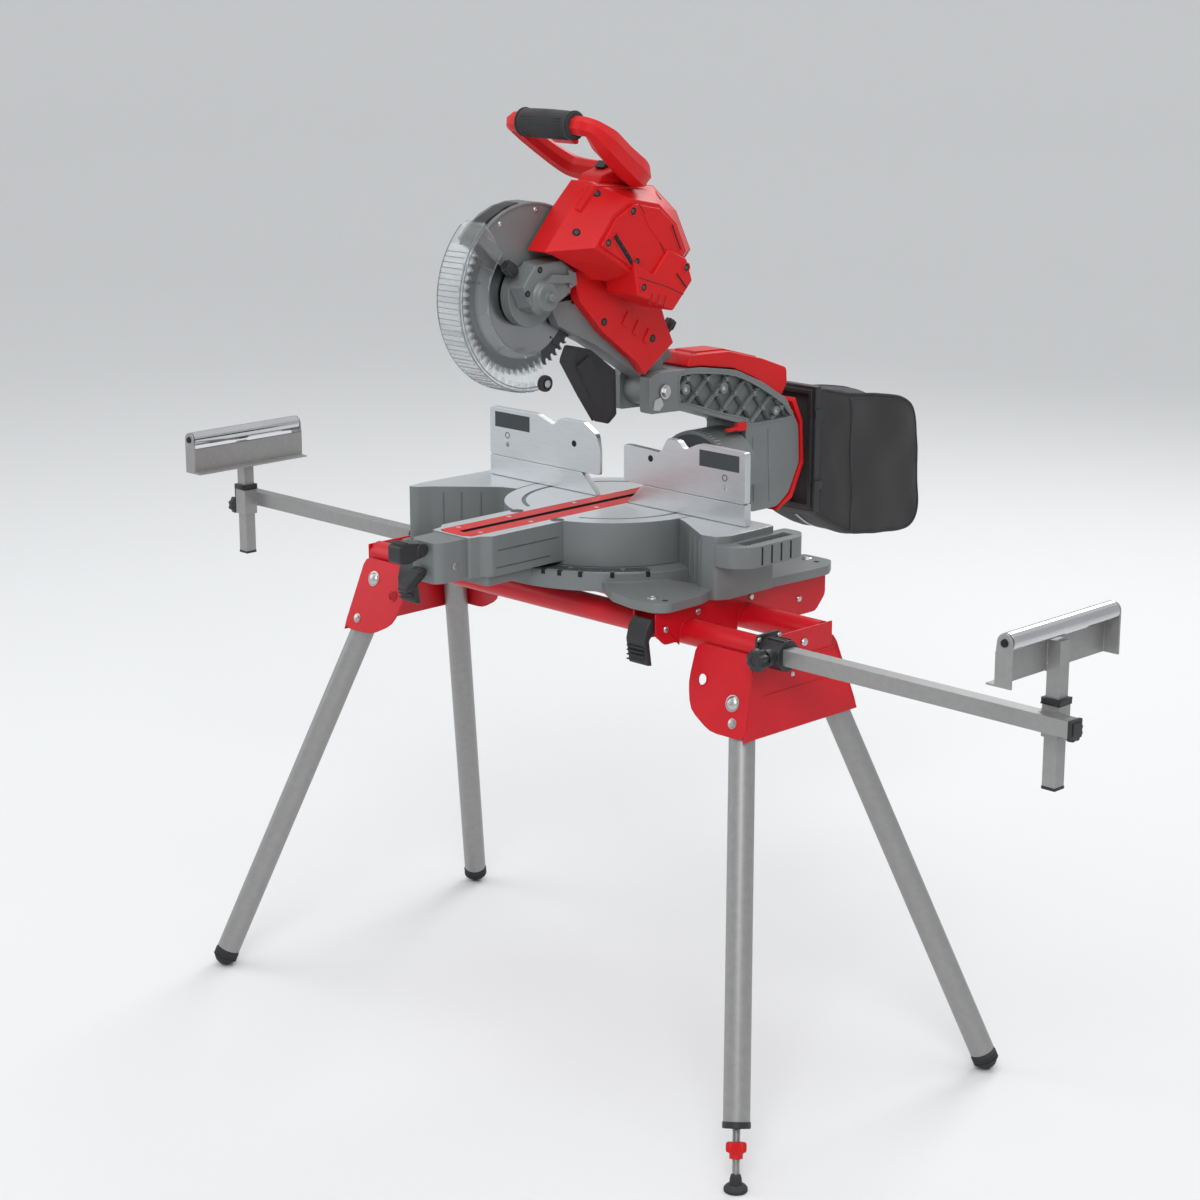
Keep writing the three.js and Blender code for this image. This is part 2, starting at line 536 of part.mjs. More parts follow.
function sawBlade() {
  const pitch = 360 / BLADE.teeth;
  const points = [];
  for (let i = 0; i < BLADE.teeth; i += 1) {
    for (const [depth, offset] of [[8, 0], [0, 5.2]]) {
      const radius = BLADE.radius - depth;
      const angle = THREE.MathUtils.degToRad(i * pitch + offset);
      points.push([BLADE.y + radius * Math.cos(angle), BLADE.z + radius * Math.sin(angle)]);
    }
  }
  return cut(slabX(points, -BLADE.half, BLADE.half), bladeAxis(BLADE.bore, -5, 5));
}
piece('saw_blade', sawBlade(), bladeSteel, saw);

const arbor = join(bladeAxis(BLADE.bore - GAP, -5, 3.2), bladeAxis(24, 1.3, 3.2, 28), bladeAxis(24, -5, -1.3, 28), bladeAxis(10, -13, -4.5, 6));
piece('arbor', arbor, chromeSteel, saw);

const gearCase = join(
  hull([22.3, 50].flatMap((x) => {
    const inset = x > 30 ? 5 : 0;
    return [
      [x, -246 + inset, 372], [x, -215, 408 - inset], [x, -160, 412 - inset], [x, -128 - inset, 388],
      [x, -136 - inset, 350 + inset], [x, -196, 324 + inset], [x, -228 + inset, 336 + inset],
    ];
  })),
  bladeAxis(22, 48, 60, 24),
  bladeAxis(8, 58, 70, 6),
);
piece('gear_case', gearCase, castGrey, saw);
const lockKnob = starKnob([30, -240, 392], [30, -262, 408], 11, 8);
piece('spindle_lock_knob', lockKnob, blackPlastic, saw);

// ---------------------------------------------------------------- saw: motor and handle
const MOTOR = { y: -60, z: 430, radius: 36 };
function motorHousing() {
  const armCover = slabX([
    [34, 206], [18, 226], [-60, 284], [-112, 338], [-126, 380], [-60, 420], [50, 400], [60, 340], [80, 290], [100, 250],
  ], 22.4, 40);
  const innerRing = [
    [-206, 424], [-150, 488], [-112, 524], [30, 508], [84, 464], [118, 400], [58, 344], [-100, 372], [-150, 408],
  ];
  const outerRing = [
    [-150, 430], [-110, 478], [-70, 498], [-10, 486], [30, 452], [52, 408], [10, 366], [-70, 384],
  ];
  const shell = join(
    slabX(innerRing, 22.4, 60),
    hull([...innerRing.map(([y, z]) => [59, y, z]), ...outerRing.map(([y, z]) => [112, y, z])]),
  );
  const gearRoom = slabX([[-260, 300], [-260, 420], [-125, 420], [-118, 372], [-160, 300]], 20, 62);
  const motorRoom = rod(MOTOR.radius, [20, MOTOR.y, MOTOR.z], [92, MOTOR.y, MOTOR.z], 28);
  return cut(join(shell, armCover), common(gearRoom, bladeAxis(84, 20, 62, 40)), motorRoom);
}
piece('motor_housing', motorHousing(), redPlastic, saw);
const motor = join(
  rod(MOTOR.radius - 2, [30, MOTOR.y, MOTOR.z], [88, MOTOR.y, MOTOR.z], 24),
  rod(6, [23, MOTOR.y, MOTOR.z], [31, MOTOR.y, MOTOR.z], 12),
);
piece('motor', motor, chromeSteel, saw);

const GRIP = { y: -152, z: 610, left: -46, right: 84 };
const ROOT = { y: -36, z: 531.5 };
function handle() {
  const bar = (radius, from, to) => join(rod(radius, from, to, 14), ball(radius, from, 12), ball(radius, to, 12));
  const grip = rod(14, [-60, GRIP.y, GRIP.z], [104, GRIP.y, GRIP.z], 20);
  const cornerLeft = [-62, GRIP.y, GRIP.z];
  const cornerRight = [104, GRIP.y, GRIP.z];
  const rootLeft = [-38, ROOT.y, ROOT.z];
  const rootRight = [88, ROOT.y, ROOT.z];
  return join(grip, bar(17, cornerLeft, rootLeft), bar(20, cornerRight, rootRight), bar(15, rootLeft, rootRight));
}
const handleSolid = handle();
const neck = cut(
  hull([[24, -88, 520], [24, 16, 508], [48, -88, 520], [48, 16, 508], [-10, -52, 531], [-10, -22, 531], [80, -52, 531], [80, -22, 531]]),
  slabX([[-300, 400], [-150, 488.5], [-112, 524.4], [30, 508.4], [84, 464.5], [84, 400]], 0, 120),
);
piece('handle', join(handleSolid, neck), redPlastic, saw);
const gripSleeve = cut(
  rod(20, [GRIP.left + 2, GRIP.y, GRIP.z], [GRIP.right - 4, GRIP.y, GRIP.z], 24),
  handleSolid,
  rod(14 + GAP, [-70, GRIP.y, GRIP.z], [110, GRIP.y, GRIP.z], 20),
);
piece('grip', gripSleeve, blackRubber, saw);
const trigger = slabX([[-131, 586], [-122, 596], [-116, 588], [-124, 578]], 0, 48, 3);
piece('trigger', trigger, blackPlastic, saw);

// ---------------------------------------------------------------- saw: chute and stop knob
const chute = slabX([[-92, 262], [-62, 254], [-6, 214], [-4, 142], [-24, 128], [-60, 172], [-104, 238]], -16, 16, 4);
piece('dust_chute', chute, blackRubber, saw);
const stopKnob = join(rod(4, [0, 112, 247], [0, 130, 268], 12), starKnob([0, 128, 266], [0, 142, 282], 10, 8));
piece('chop_stop_knob', stopKnob, blackPlastic, saw);

export default wholeThing;
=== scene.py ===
import math

import bmesh
import bpy
import numpy as np
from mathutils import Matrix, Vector
from mathutils.bvhtree import BVHTree


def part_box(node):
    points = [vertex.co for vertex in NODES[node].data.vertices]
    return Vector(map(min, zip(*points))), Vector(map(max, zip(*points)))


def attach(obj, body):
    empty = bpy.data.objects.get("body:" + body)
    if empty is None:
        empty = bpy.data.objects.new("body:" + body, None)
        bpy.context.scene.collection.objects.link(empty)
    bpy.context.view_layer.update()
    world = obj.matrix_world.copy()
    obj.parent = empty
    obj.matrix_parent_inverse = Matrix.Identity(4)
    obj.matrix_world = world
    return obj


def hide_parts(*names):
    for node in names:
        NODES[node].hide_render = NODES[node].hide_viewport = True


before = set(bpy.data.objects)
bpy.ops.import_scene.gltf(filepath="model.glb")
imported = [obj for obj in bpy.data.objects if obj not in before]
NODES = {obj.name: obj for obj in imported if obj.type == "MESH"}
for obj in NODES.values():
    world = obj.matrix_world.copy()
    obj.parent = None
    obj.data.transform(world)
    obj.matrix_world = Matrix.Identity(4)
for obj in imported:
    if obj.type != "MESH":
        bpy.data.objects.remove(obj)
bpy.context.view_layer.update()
MM = 0.001
rails_middle = (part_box("rail_front")[0].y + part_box("rail_back")[1].y) / 2 / MM
FLOOR = Vector((0, rails_middle, 0))            # the stand is drawn from the floor between its rails
TABLE_HEIGHT = 882.0
TABLE = FLOOR + Vector((0, 57, TABLE_HEIGHT))   # the saw is drawn from the middle of its table top
SIDES = (1, -1)                                 # right and left, or back and front

# %% [markdown]
# ## Camera, light and floor
# The camera stands at the front right corner and a little above the table, like someone walking up to the
# saw. Large soft area lights are used because painted castings and chrome rollers show their shape by what
# they reflect: small lamps would leave hard white dots, and a bare world would leave the chrome flat.
# %% Camera
VIEW_AZIMUTH, VIEW_ELEVATION, VIEW_DISTANCE = 45.0, 14.5, 4.3
LENS = 79
aim = Vector((0.0, 0.03, 0.718)) + FLOOR * MM
turn = math.radians(VIEW_AZIMUTH)
rise = math.radians(VIEW_ELEVATION)
back = Vector((math.sin(turn) * math.cos(rise), -math.cos(turn) * math.cos(rise), math.sin(rise)))
camera_data = bpy.data.cameras.new("camera")
camera = bpy.data.objects.new("camera", camera_data)
bpy.context.collection.objects.link(camera)
camera.location = aim + back * VIEW_DISTANCE
camera.rotation_euler = (-back).to_track_quat("-Z", "Y").to_euler()
camera_data.lens = LENS
camera_data.clip_end = 60
bpy.context.scene.camera = camera
print("camera at", [round(v, 2) for v in camera.location])

# %% Soft lights and the world
def area_light(name, place, target, size, power, tint=(1, 1, 1)):
    data = bpy.data.lights.new(name, "AREA")
    data.shape = "DISK"
    data.size = size
    data.energy = power
    data.color = tint
    lamp = bpy.data.objects.new(name, data)
    bpy.context.collection.objects.link(lamp)
    lamp.location = Vector(place) + FLOOR * MM
    lamp.rotation_euler = (Vector(target) - Vector(place)).to_track_quat("-Z", "Y").to_euler()
    return lamp

area_light("key", (3.2, -3.4, 4.2), (0, 0, 0.7), 2.6, 120)
area_light("fill", (-4.2, -2.2, 2.6), (0, 0, 0.8), 3.4, 46, (0.96, 0.98, 1))
area_light("rim", (-1.2, 4.0, 3.6), (0, 0, 0.9), 2.4, 70)
area_light("top", (0.4, -0.3, 5.2), (0, 0, 0.8), 3.0, 30)
world = bpy.data.worlds.new("studio")
bpy.context.scene.world = world
world.use_nodes = True
backdrop = world.node_tree.nodes["Background"]
backdrop.inputs["Color"].default_value = (0.93, 0.945, 0.96, 1)
backdrop.inputs["Strength"].default_value = 0.78
bpy.context.scene.view_settings.view_transform = "Standard"

# %% [markdown]
# ## Surface effects shared by many finishes
# Powder coat, castings and plastics differ mostly in grain size and in how their edges wear.
# Each effect is one node group with named sockets, so a material only chooses its own numbers.
# The groups give back heights, masks and colours, and the shader itself stays in the material.
# %% Node helpers
def new_group(name, inputs, outputs):
    group = bpy.data.node_groups.new(name, "ShaderNodeTree")
    for label, value in inputs.items():
        kind = "NodeSocketColor" if isinstance(value, tuple) else "NodeSocketFloat"
        group.interface.new_socket(label, in_out="INPUT", socket_type=kind).default_value = value
    for label, kind in outputs.items():
        group.interface.new_socket(label, in_out="OUTPUT", socket_type=kind)
    return group, group.nodes.new("NodeGroupInput"), group.nodes.new("NodeGroupOutput")

def add_node(tree, kind, **values):
    node = tree.nodes.new(kind)
    for key, value in values.items():
        setattr(node, key, value)
    return node

def math_node(tree, operation, first, second, clamp=False):
    node = add_node(tree, "ShaderNodeMath", operation=operation, use_clamp=clamp)
    for socket, value in zip(node.inputs, (first, second)):
        if isinstance(value, (int, float)):
            socket.default_value = value
        else:
            tree.links.new(value, socket)
    return node.outputs[0]

def noise(tree, vector, scale, detail=3.0, roughness=0.55):
    node = tree.nodes.new("ShaderNodeTexNoise")
    node.inputs["Detail"].default_value = detail
    node.inputs["Roughness"].default_value = roughness
    tree.links.new(vector, node.inputs["Vector"])
    if isinstance(scale, (int, float)):
        node.inputs["Scale"].default_value = scale
    else:
        tree.links.new(scale, node.inputs["Scale"])
    return node.outputs["Fac"]

print("node helpers ready")

# %% Grain: fine pits and slow waviness
def make_grain_group():
    group, gin, gout = new_group("grain", {"Scale": 900.0, "Waviness": 0.35},
                                 {"Height": "NodeSocketFloat", "Mottle": "NodeSocketFloat"})
    place = group.nodes.new("ShaderNodeTexCoord").outputs["Object"]
    fine = noise(group, place, gin.outputs["Scale"], 2.0)
    slow = noise(group, place, 38.0, 3.0)
    waves = math_node(group, "MULTIPLY", slow, gin.outputs["Waviness"])
    group.links.new(math_node(group, "ADD", fine, waves), gout.inputs["Height"])
    group.links.new(noise(group, place, 16.0, 4.0), gout.inputs["Mottle"])
    return group

GRAIN = make_grain_group()
print("group:", GRAIN.name)

# %% Edge wear: rubbed corners, broken up by noise
def make_wear_group():
    group, gin, gout = new_group("edge wear", {"Amount": 0.5}, {"Mask": "NodeSocketFloat"})
    bevel = add_node(group, "ShaderNodeBevel", samples=4)
    bevel.inputs["Radius"].default_value = 0.0012
    normal = group.nodes.new("ShaderNodeNewGeometry").outputs["Normal"]
    dot = add_node(group, "ShaderNodeVectorMath", operation="DOT_PRODUCT")
    group.links.new(bevel.outputs["Normal"], dot.inputs[0])
    group.links.new(normal, dot.inputs[1])
    turned = math_node(group, "SUBTRACT", 1.0, dot.outputs["Value"])
    place = group.nodes.new("ShaderNodeTexCoord").outputs["Object"]
    patches = math_node(group, "SUBTRACT", noise(group, place, 55.0, 4.0, 0.7), 0.38, clamp=True)
    rubbed = math_node(group, "MULTIPLY", math_node(group, "MULTIPLY", turned, 22.0), patches, clamp=True)
    group.links.new(math_node(group, "MULTIPLY", rubbed, gin.outputs["Amount"], clamp=True),
                    gout.inputs["Mask"])
    return group

WEAR = make_wear_group()
print("group:", WEAR.name)

# %% Dust: a pale film on faces that look up
def make_dust_group():
    group, gin, gout = new_group("dust", {"Amount": 0.15}, {"Mask": "NodeSocketFloat"})
    normal = group.nodes.new("ShaderNodeNewGeometry").outputs["Normal"]
    split = group.nodes.new("ShaderNodeSeparateXYZ")
    group.links.new(normal, split.inputs[0])
    upward = math_node(group, "SUBTRACT", split.outputs["Z"], 0.55, clamp=True)
    place = group.nodes.new("ShaderNodeTexCoord").outputs["Object"]
    drift = math_node(group, "SUBTRACT", noise(group, place, 24.0, 5.0, 0.65), 0.35, clamp=True)
    film = math_node(group, "MULTIPLY", math_node(group, "MULTIPLY", upward, drift), 4.0, clamp=True)
    group.links.new(math_node(group, "MULTIPLY", film, gin.outputs["Amount"], clamp=True),
                    gout.inputs["Mask"])
    return group

DUST = make_dust_group()
print("group:", DUST.name)

# %% Streaks: the lay of a brushed, ground or drawn surface
def make_streak_group():
    group, gin, gout = new_group("streaks", {"Along X": 1.0, "Along Y": 1.0, "Along Z": 1.0, "Scale": 500.0},
                                 {"Streaks": "NodeSocketFloat"})
    place = group.nodes.new("ShaderNodeTexCoord").outputs["Object"]
    stretch = group.nodes.new("ShaderNodeCombineXYZ")
    for axis in "XYZ":
        group.links.new(gin.outputs[f"Along {axis}"], stretch.inputs[axis])
    product = add_node(group, "ShaderNodeVectorMath", operation="MULTIPLY")
    group.links.new(place, product.inputs[0])
    group.links.new(stretch.outputs[0], product.inputs[1])
    group.links.new(noise(group, product.outputs[0], gin.outputs["Scale"], 3.0), gout.inputs["Streaks"])
    return group

STREAKS = make_streak_group()
print("group:", STREAKS.name)

# %% [markdown]
# ## Finishes
# One builder makes the painted, cast and moulded finishes: a base colour, a mottle that shifts it slightly,
# a worn colour at the corners, dust on top, and grain as bump. Uniform numbers sit on the shader's own
# sockets. Metals, clear plastic and cloth are different enough to have builders of their own.
# %% Helpers that place groups and mix their results
def use_group(tree, group, **values):
    node = tree.nodes.new("ShaderNodeGroup")
    node.node_tree = group
    for label, value in values.items():
        node.inputs[label.replace("_", " ")].default_value = value
    return node

def mix_colour(tree, mask, first, second):
    node = add_node(tree, "ShaderNodeMix", data_type="RGBA")
    tree.links.new(mask, node.inputs[0])
    for socket, value in ((node.inputs[6], first), (node.inputs[7], second)):
        if isinstance(value, tuple):
            socket.default_value = (*value, 1)
        else:
            tree.links.new(value, socket)
    return node.outputs[2]

def spread(tree, value, low, high):
    node = tree.nodes.new("ShaderNodeMapRange")
    tree.links.new(value, node.inputs["Value"])
    node.inputs["To Min"].default_value = low
    node.inputs["To Max"].default_value = high
    return node.outputs["Result"]

def bump_from(tree, shader, height, distance, strength=1.0):
    bump = tree.nodes.new("ShaderNodeBump")
    bump.inputs["Distance"].default_value = distance
    bump.inputs["Strength"].default_value = strength
    tree.links.new(height, bump.inputs["Height"])
    tree.links.new(bump.outputs["Normal"], shader.inputs["Normal"])

def start_material(name, colour, roughness, metallic=0.0, coat=0.0):
    material = bpy.data.materials.new(name)
    material.use_nodes = True
    shader = material.node_tree.nodes["Principled BSDF"]
    shader.inputs["Base Color"].default_value = (*colour, 1)
    shader.inputs["Roughness"].default_value = roughness
    shader.inputs["Metallic"].default_value = metallic
    shader.inputs["Coat Weight"].default_value = coat
    shader.inputs["Coat Roughness"].default_value = 0.18
    material.diffuse_color = (*colour, 1)
    return material, material.node_tree, shader

print("finish helpers ready")

# %% Painted, cast and moulded finishes
def coated(name, colour, roughness, grain=900.0, depth=0.00008, wear=0.4, worn=(0.4, 0.4, 0.4), dust=0.12,
           metallic=0.0, coat=0.0, waviness=0.35, mottle=0.12):
    material, tree, shader = start_material(name, colour, roughness, metallic, coat)
    grained = use_group(tree, GRAIN, Scale=grain, Waviness=waviness)
    darker = tuple(c * (1 - mottle) for c in colour)
    lighter = tuple(min(1, c * (1 + mottle)) for c in colour)
    base = mix_colour(tree, grained.outputs["Mottle"], darker, lighter)
    base = mix_colour(tree, use_group(tree, WEAR, Amount=wear).outputs["Mask"], base, worn)
    base = mix_colour(tree, use_group(tree, DUST, Amount=dust).outputs["Mask"], base, (0.50, 0.43, 0.33))
    tree.links.new(base, shader.inputs["Base Color"])
    tree.links.new(spread(tree, grained.outputs["Mottle"], roughness - 0.07, roughness + 0.09),
                   shader.inputs["Roughness"])
    bump_from(tree, shader, grained.outputs["Height"], depth)
    return material

RED_COAT = coated("red powder coat", (0.55, 0.004, 0.012), 0.38, 420, 0.00010, 0.35, (0.26, 0.03, 0.03), 0.05,
                  coat=0.10, waviness=0.8)
RED_PLASTIC = coated("red moulding", (0.60, 0.005, 0.007), 0.44, 1500, 0.00006, 0.26, (0.62, 0.08, 0.07),
                     0.05)
CAST_GREY = coated("grey casting", (0.185, 0.198, 0.200), 0.48, 700, 0.00016, 0.50, (0.46, 0.48, 0.49), 0.05,
                   metallic=0.30)
DARK_CAST = coated("dark casting", (0.052, 0.060, 0.064), 0.50, 800, 0.00014, 0.40, (0.30, 0.31, 0.32), 0.12,
                   metallic=0.30)
BLACK_PLASTIC = coated("black moulding", (0.016, 0.017, 0.019), 0.46, 1700, 0.00010, 0.35,
                       (0.10, 0.10, 0.105), 0.10)
for red in (RED_COAT, RED_PLASTIC):
    red.node_tree.nodes["Principled BSDF"].inputs["Specular IOR Level"].default_value = 0.28
RUBBER = coated("soft rubber", (0.024, 0.024, 0.026), 0.78, 1300, 0.00016, 0.20, (0.075, 0.075, 0.075), 0.16)
# Painted shade: a near-black finish laid in holes, slots, grooves and pockets, where the light does not
# reach.
RECESS_SHADE = coated("painted recess shade", (0.008, 0.008, 0.009), 0.85, 600, 0.0001, 0.0, (0.02, 0.02, 0.02), 0.02)
print("finishes:", len(bpy.data.materials))

# %% [markdown]
# ### A casting whose top has been machined
# The table and wings are milled flat after casting, so only faces that look up at table height are bright.
# Splitting the mesh into two materials would work, but the model's mesh is kept as it is. So a mask is made
# from height and from the way a face looks, and it blends milled metal over the painted casting.
# %% Milled top
def machined_top(name, height):
    material = coated(name, (0.185, 0.198, 0.200), 0.48, 700, 0.00012, 0.45, (0.40, 0.42, 0.43), 0.04,
                      metallic=0.30)
    tree = material.node_tree
    shader = tree.nodes["Principled BSDF"]
    painted = shader.inputs["Base Color"].links[0].from_socket
    dull = shader.inputs["Roughness"].links[0].from_socket
    split_place, split_normal = (tree.nodes.new("ShaderNodeSeparateXYZ") for _ in range(2))
    tree.links.new(tree.nodes.new("ShaderNodeTexCoord").outputs["Object"], split_place.inputs[0])
    tree.links.new(tree.nodes.new("ShaderNodeNewGeometry").outputs["Normal"], split_normal.inputs[0])
    high = math_node(tree, "GREATER_THAN", split_place.outputs["Z"], height)
    level = math_node(tree, "GREATER_THAN", split_normal.outputs["Z"], 0.9)
    mask = math_node(tree, "MULTIPLY", high, level)
    streaks = use_group(tree, STREAKS, Along_X=0.05, Along_Y=1.0, Along_Z=1.0, Scale=700.0).outputs["Streaks"]
    milled = mix_colour(tree, streaks, (0.60, 0.615, 0.625), (0.76, 0.775, 0.785))
    tree.links.new(mix_colour(tree, mask, painted, milled), shader.inputs["Base Color"])
    blend = add_node(tree, "ShaderNodeMix", data_type="FLOAT")
    for socket, value in zip((blend.inputs[0], blend.inputs[2], blend.inputs[3]),
                             (mask, dull, spread(tree, streaks, 0.26, 0.42))):
        tree.links.new(value, socket)
    tree.links.new(blend.outputs[0], shader.inputs["Roughness"])
    tree.links.new(spread(tree, mask, 0.30, 0.85), shader.inputs["Metallic"])
    return material

MACHINED_TOP = machined_top("casting with milled top", (TABLE_HEIGHT - 1.2) * MM)
print("finishes:", len(bpy.data.materials))

# %% [markdown]
# ### Metals with a lay
# A drawn tube, a brushed fence and a ground blade differ by the direction of their fine scratches. Noise
# stretched along one axis gives that lay, and it drives colour, roughness and a very shallow bump together.
# Chrome gets the same treatment at a low roughness, since even a polished roller carries faint turning
# marks.
# %% Metals
def metal(name, colour, low, high, lay, scale=500.0, depth=0.00003, metallic=1.0):
    material, tree, shader = start_material(name, colour, (low + high) / 2, metallic)
    streaks = use_group(tree, STREAKS, Along_X=lay[0], Along_Y=lay[1], Along_Z=lay[2], Scale=scale)
    fac = streaks.outputs["Streaks"]
    darker = tuple(c * 0.84 for c in colour)
    lighter = tuple(min(1, c * 1.10) for c in colour)
    tree.links.new(mix_colour(tree, fac, darker, lighter), shader.inputs["Base Color"])
    tree.links.new(spread(tree, fac, low, high), shader.inputs["Roughness"])
    bump_from(tree, shader, fac, depth)
    return material

TUBE_SILVER = metal("satin silver tube", (0.33, 0.327, 0.322), 0.38, 0.52, (0.3, 0.3, 0.3), 300, 0.00004,
                    0.55)
BRUSHED = metal("brushed aluminium", (0.64, 0.66, 0.675), 0.28, 0.44, (0.03, 1.0, 1.0), 900, 0.00004)
CHROME = metal("chrome", (0.62, 0.62, 0.63), 0.05, 0.12, (1.0, 0.05, 1.0), 200, 0.00001)
STEEL = metal("zinc steel", (0.55, 0.55, 0.54), 0.26, 0.40, (1.0, 1.0, 1.0), 700, 0.00004)
BLADE_STEEL = metal("ground blade plate", (0.54, 0.55, 0.57), 0.20, 0.34, (1.0, 1.0, 0.06), 600, 0.00003)
CARBIDE = metal("carbide tip", (0.30, 0.30, 0.32), 0.35, 0.50, (1.0, 1.0, 1.0), 600, 0.00003, 0.8)
print("finishes:", len(bpy.data.materials))

# %% [markdown]
# ### Clear guard plastic
# The lower guard is polycarbonate about 2 mm thick. It hardly bends light, but its ribs and edges catch it.
# Full glass would look like a lens here, so transmission is combined with a low index and a part-clear alpha,
# and the edges, which look darker on the real moulding where light bends through them, get a painted shade:
# a dark grey finish of their own.
# %% Clear plastic
def clear_plastic():
    material, tree, shader = start_material("clear polycarbonate", (0.92, 0.945, 0.95), 0.05)
    shader.inputs["Transmission Weight"].default_value = 0.92
    shader.inputs["IOR"].default_value = 1.25
    shader.inputs["Alpha"].default_value = 0.50
    grained = use_group(tree, GRAIN, Scale=160.0, Waviness=0.6)
    tree.links.new(spread(tree, grained.outputs["Mottle"], 0.02, 0.07), shader.inputs["Roughness"])
    bump_from(tree, shader, grained.outputs["Height"], 0.000002)
    return material

CLEAR = clear_plastic()
# Painted shade along the clear guard's edges and ribs.
EDGE_SHADE = coated("painted edge shade", (0.16, 0.17, 0.18), 0.22, 160, 0.00001, 0.0, (0.3, 0.3, 0.3), 0.02)
print("finishes:", len(bpy.data.materials))

# %% [markdown]
# ### Woven bag cloth
# The dust bag is coated polyester with a plain weave: two sets of threads at right angles, each over and
# under. Two wave textures give the threads and the higher of the two wins, which reads as a weave without
# any picture. A little sheen lifts the cloth where it turns away, and dust settles on what faces up.
# %% Cloth
def bag_cloth():
    material, tree, shader = start_material("woven bag cloth", (0.030, 0.027, 0.030), 0.88)
    shader.inputs["Sheen Weight"].default_value = 0.12
    shader.inputs["Sheen Roughness"].default_value = 0.5
    place = tree.nodes.new("ShaderNodeTexCoord").outputs["Object"]
    threads = []
    for direction in ("Y", "Z"):
        wave = add_node(tree, "ShaderNodeTexWave", wave_type="BANDS", bands_direction=direction,
                        wave_profile="SIN")
        wave.inputs["Scale"].default_value = 260
        wave.inputs["Distortion"].default_value = 0.8
        wave.inputs["Detail"].default_value = 1
        tree.links.new(place, wave.inputs["Vector"])
        threads.append(wave.outputs["Fac"])
    weave = math_node(tree, "MAXIMUM", threads[0], threads[1])
    blotch = noise(tree, place, 14.0, 4.0)
    tinted = mix_colour(tree, blotch, (0.014, 0.013, 0.014), (0.030, 0.028, 0.030))
    dusty = mix_colour(tree, use_group(tree, DUST, Amount=0.06).outputs["Mask"], tinted, (0.30, 0.25, 0.19))
    tree.links.new(dusty, shader.inputs["Base Color"])
    bump_from(tree, shader, weave, 0.00035, 0.8)
    return material

CLOTH = bag_cloth()
print("finishes:", len(bpy.data.materials))

# %% [markdown]
# ## Dressing the parts that keep their shape
# Flat sheet, tubes and castings from the model are right in shape, but their corners are knife sharp. Real
# edges catch light, so each gets a weld, a merge of flat triangles, and a narrow bevel with weighted
# normals. These are modifiers, so the model's own mesh stays as it is.
# %% Bevels and materials on the model's own parts
def dress(node, material, width=0.8, segments=2, angle=28):
    part = NODES[node]
    part.data.materials.clear()
    part.data.materials.append(material)
    part.data.polygons.foreach_set("use_smooth", [True] * len(part.data.polygons))
    weld = part.modifiers.new("weld", "WELD")
    weld.merge_threshold = 0.00002
    flat = part.modifiers.new("flat faces", "DECIMATE")
    flat.decimate_type = "DISSOLVE"
    flat.angle_limit = math.radians(0.4)
    bevel = part.modifiers.new("soft edges", "BEVEL")
    bevel.width = width * MM
    bevel.segments = segments
    bevel.limit_method = "ANGLE"
    bevel.angle_limit = math.radians(angle)
    bevel.use_clamp_overlap = False
    bevel.miter_outer = "MITER_ARC"
    part.modifiers.new("flat shading", "WEIGHTED_NORMAL").weight = 90
    return part

print("dressing ready")

# %% The finish that each part gets
PLAIN_FINISH = {
    RED_COAT: ["rail_front", "rail_back", "end_bracket_left", "end_bracket_right", "mount_bracket_left",
               "mount_bracket_right"],
    TUBE_SILVER: ["leg_front_left", "leg_front_right", "leg_back_left", "leg_back_right",
                  "extension_arm_left",
                  "extension_arm_right", "roller_stand_left", "roller_stand_right"],
    CHROME: ["roller_left", "roller_right", "slide_rail_left", "slide_rail_right"],
    BLACK_PLASTIC: ["rail_cap_left", "rail_cap_right", "bracket_lever_left", "bracket_lever_right",
                    "mitre_lock_handle", "detent_lever", "trigger", "arm_lock_knob_left",
                    "arm_lock_knob_right",
                    "post_lock_knob_left", "post_lock_knob_right", "spindle_lock_knob", "chop_stop_knob"],
    RUBBER: ["foot_front_left", "foot_back_left", "foot_back_right", "levelling_foot", "grip", "guard_roller",
             "dust_chute"],
    MACHINED_TOP: ["base_casting", "turntable"],
    CAST_GREY: ["slide_carriage", "bevel_arm", "head_casting", "upper_guard", "gear_case"],
    RED_PLASTIC: ["kerf_plate", "duct_cover", "rear_plate", "motor_housing", "handle"],
    BRUSHED: ["fence_lower_left", "fence_lower_right", "fence_upper_left", "fence_upper_right"],
    STEEL: ["arbor", "motor", "head_hinge_pin"],
    BLADE_STEEL: ["saw_blade"],
    CLEAR: ["lower_guard"],
    CLOTH: ["dust_bag"],
}
THIN = {"rail_front", "rail_back", "kerf_plate", "saw_blade", "lower_guard", "upper_guard", "roller_left",
        "roller_right"}
for material, names in PLAIN_FINISH.items():
    for name in names:
        dress(name, material, 0.4 if name in THIN else 0.9)

# The feet are round already, and a bevel on the housing and upper guard must stop where their short edges do.
for name in ("foot_front_left", "foot_back_left", "foot_back_right"):
    NODES[name].modifiers.remove(NODES[name].modifiers["soft edges"])
for name in ("motor_housing", "upper_guard"):
    NODES[name].modifiers["soft edges"].use_clamp_overlap = True

def soften(node, width, segments=2):
    """Gives one part of the model a wider or narrower bevel than the rest."""
    bevel = NODES[node].modifiers["soft edges"]
    bevel.width = width * MM
    bevel.segments = segments

print("dressed", sum(map(len, PLAIN_FINISH.values())), "parts")

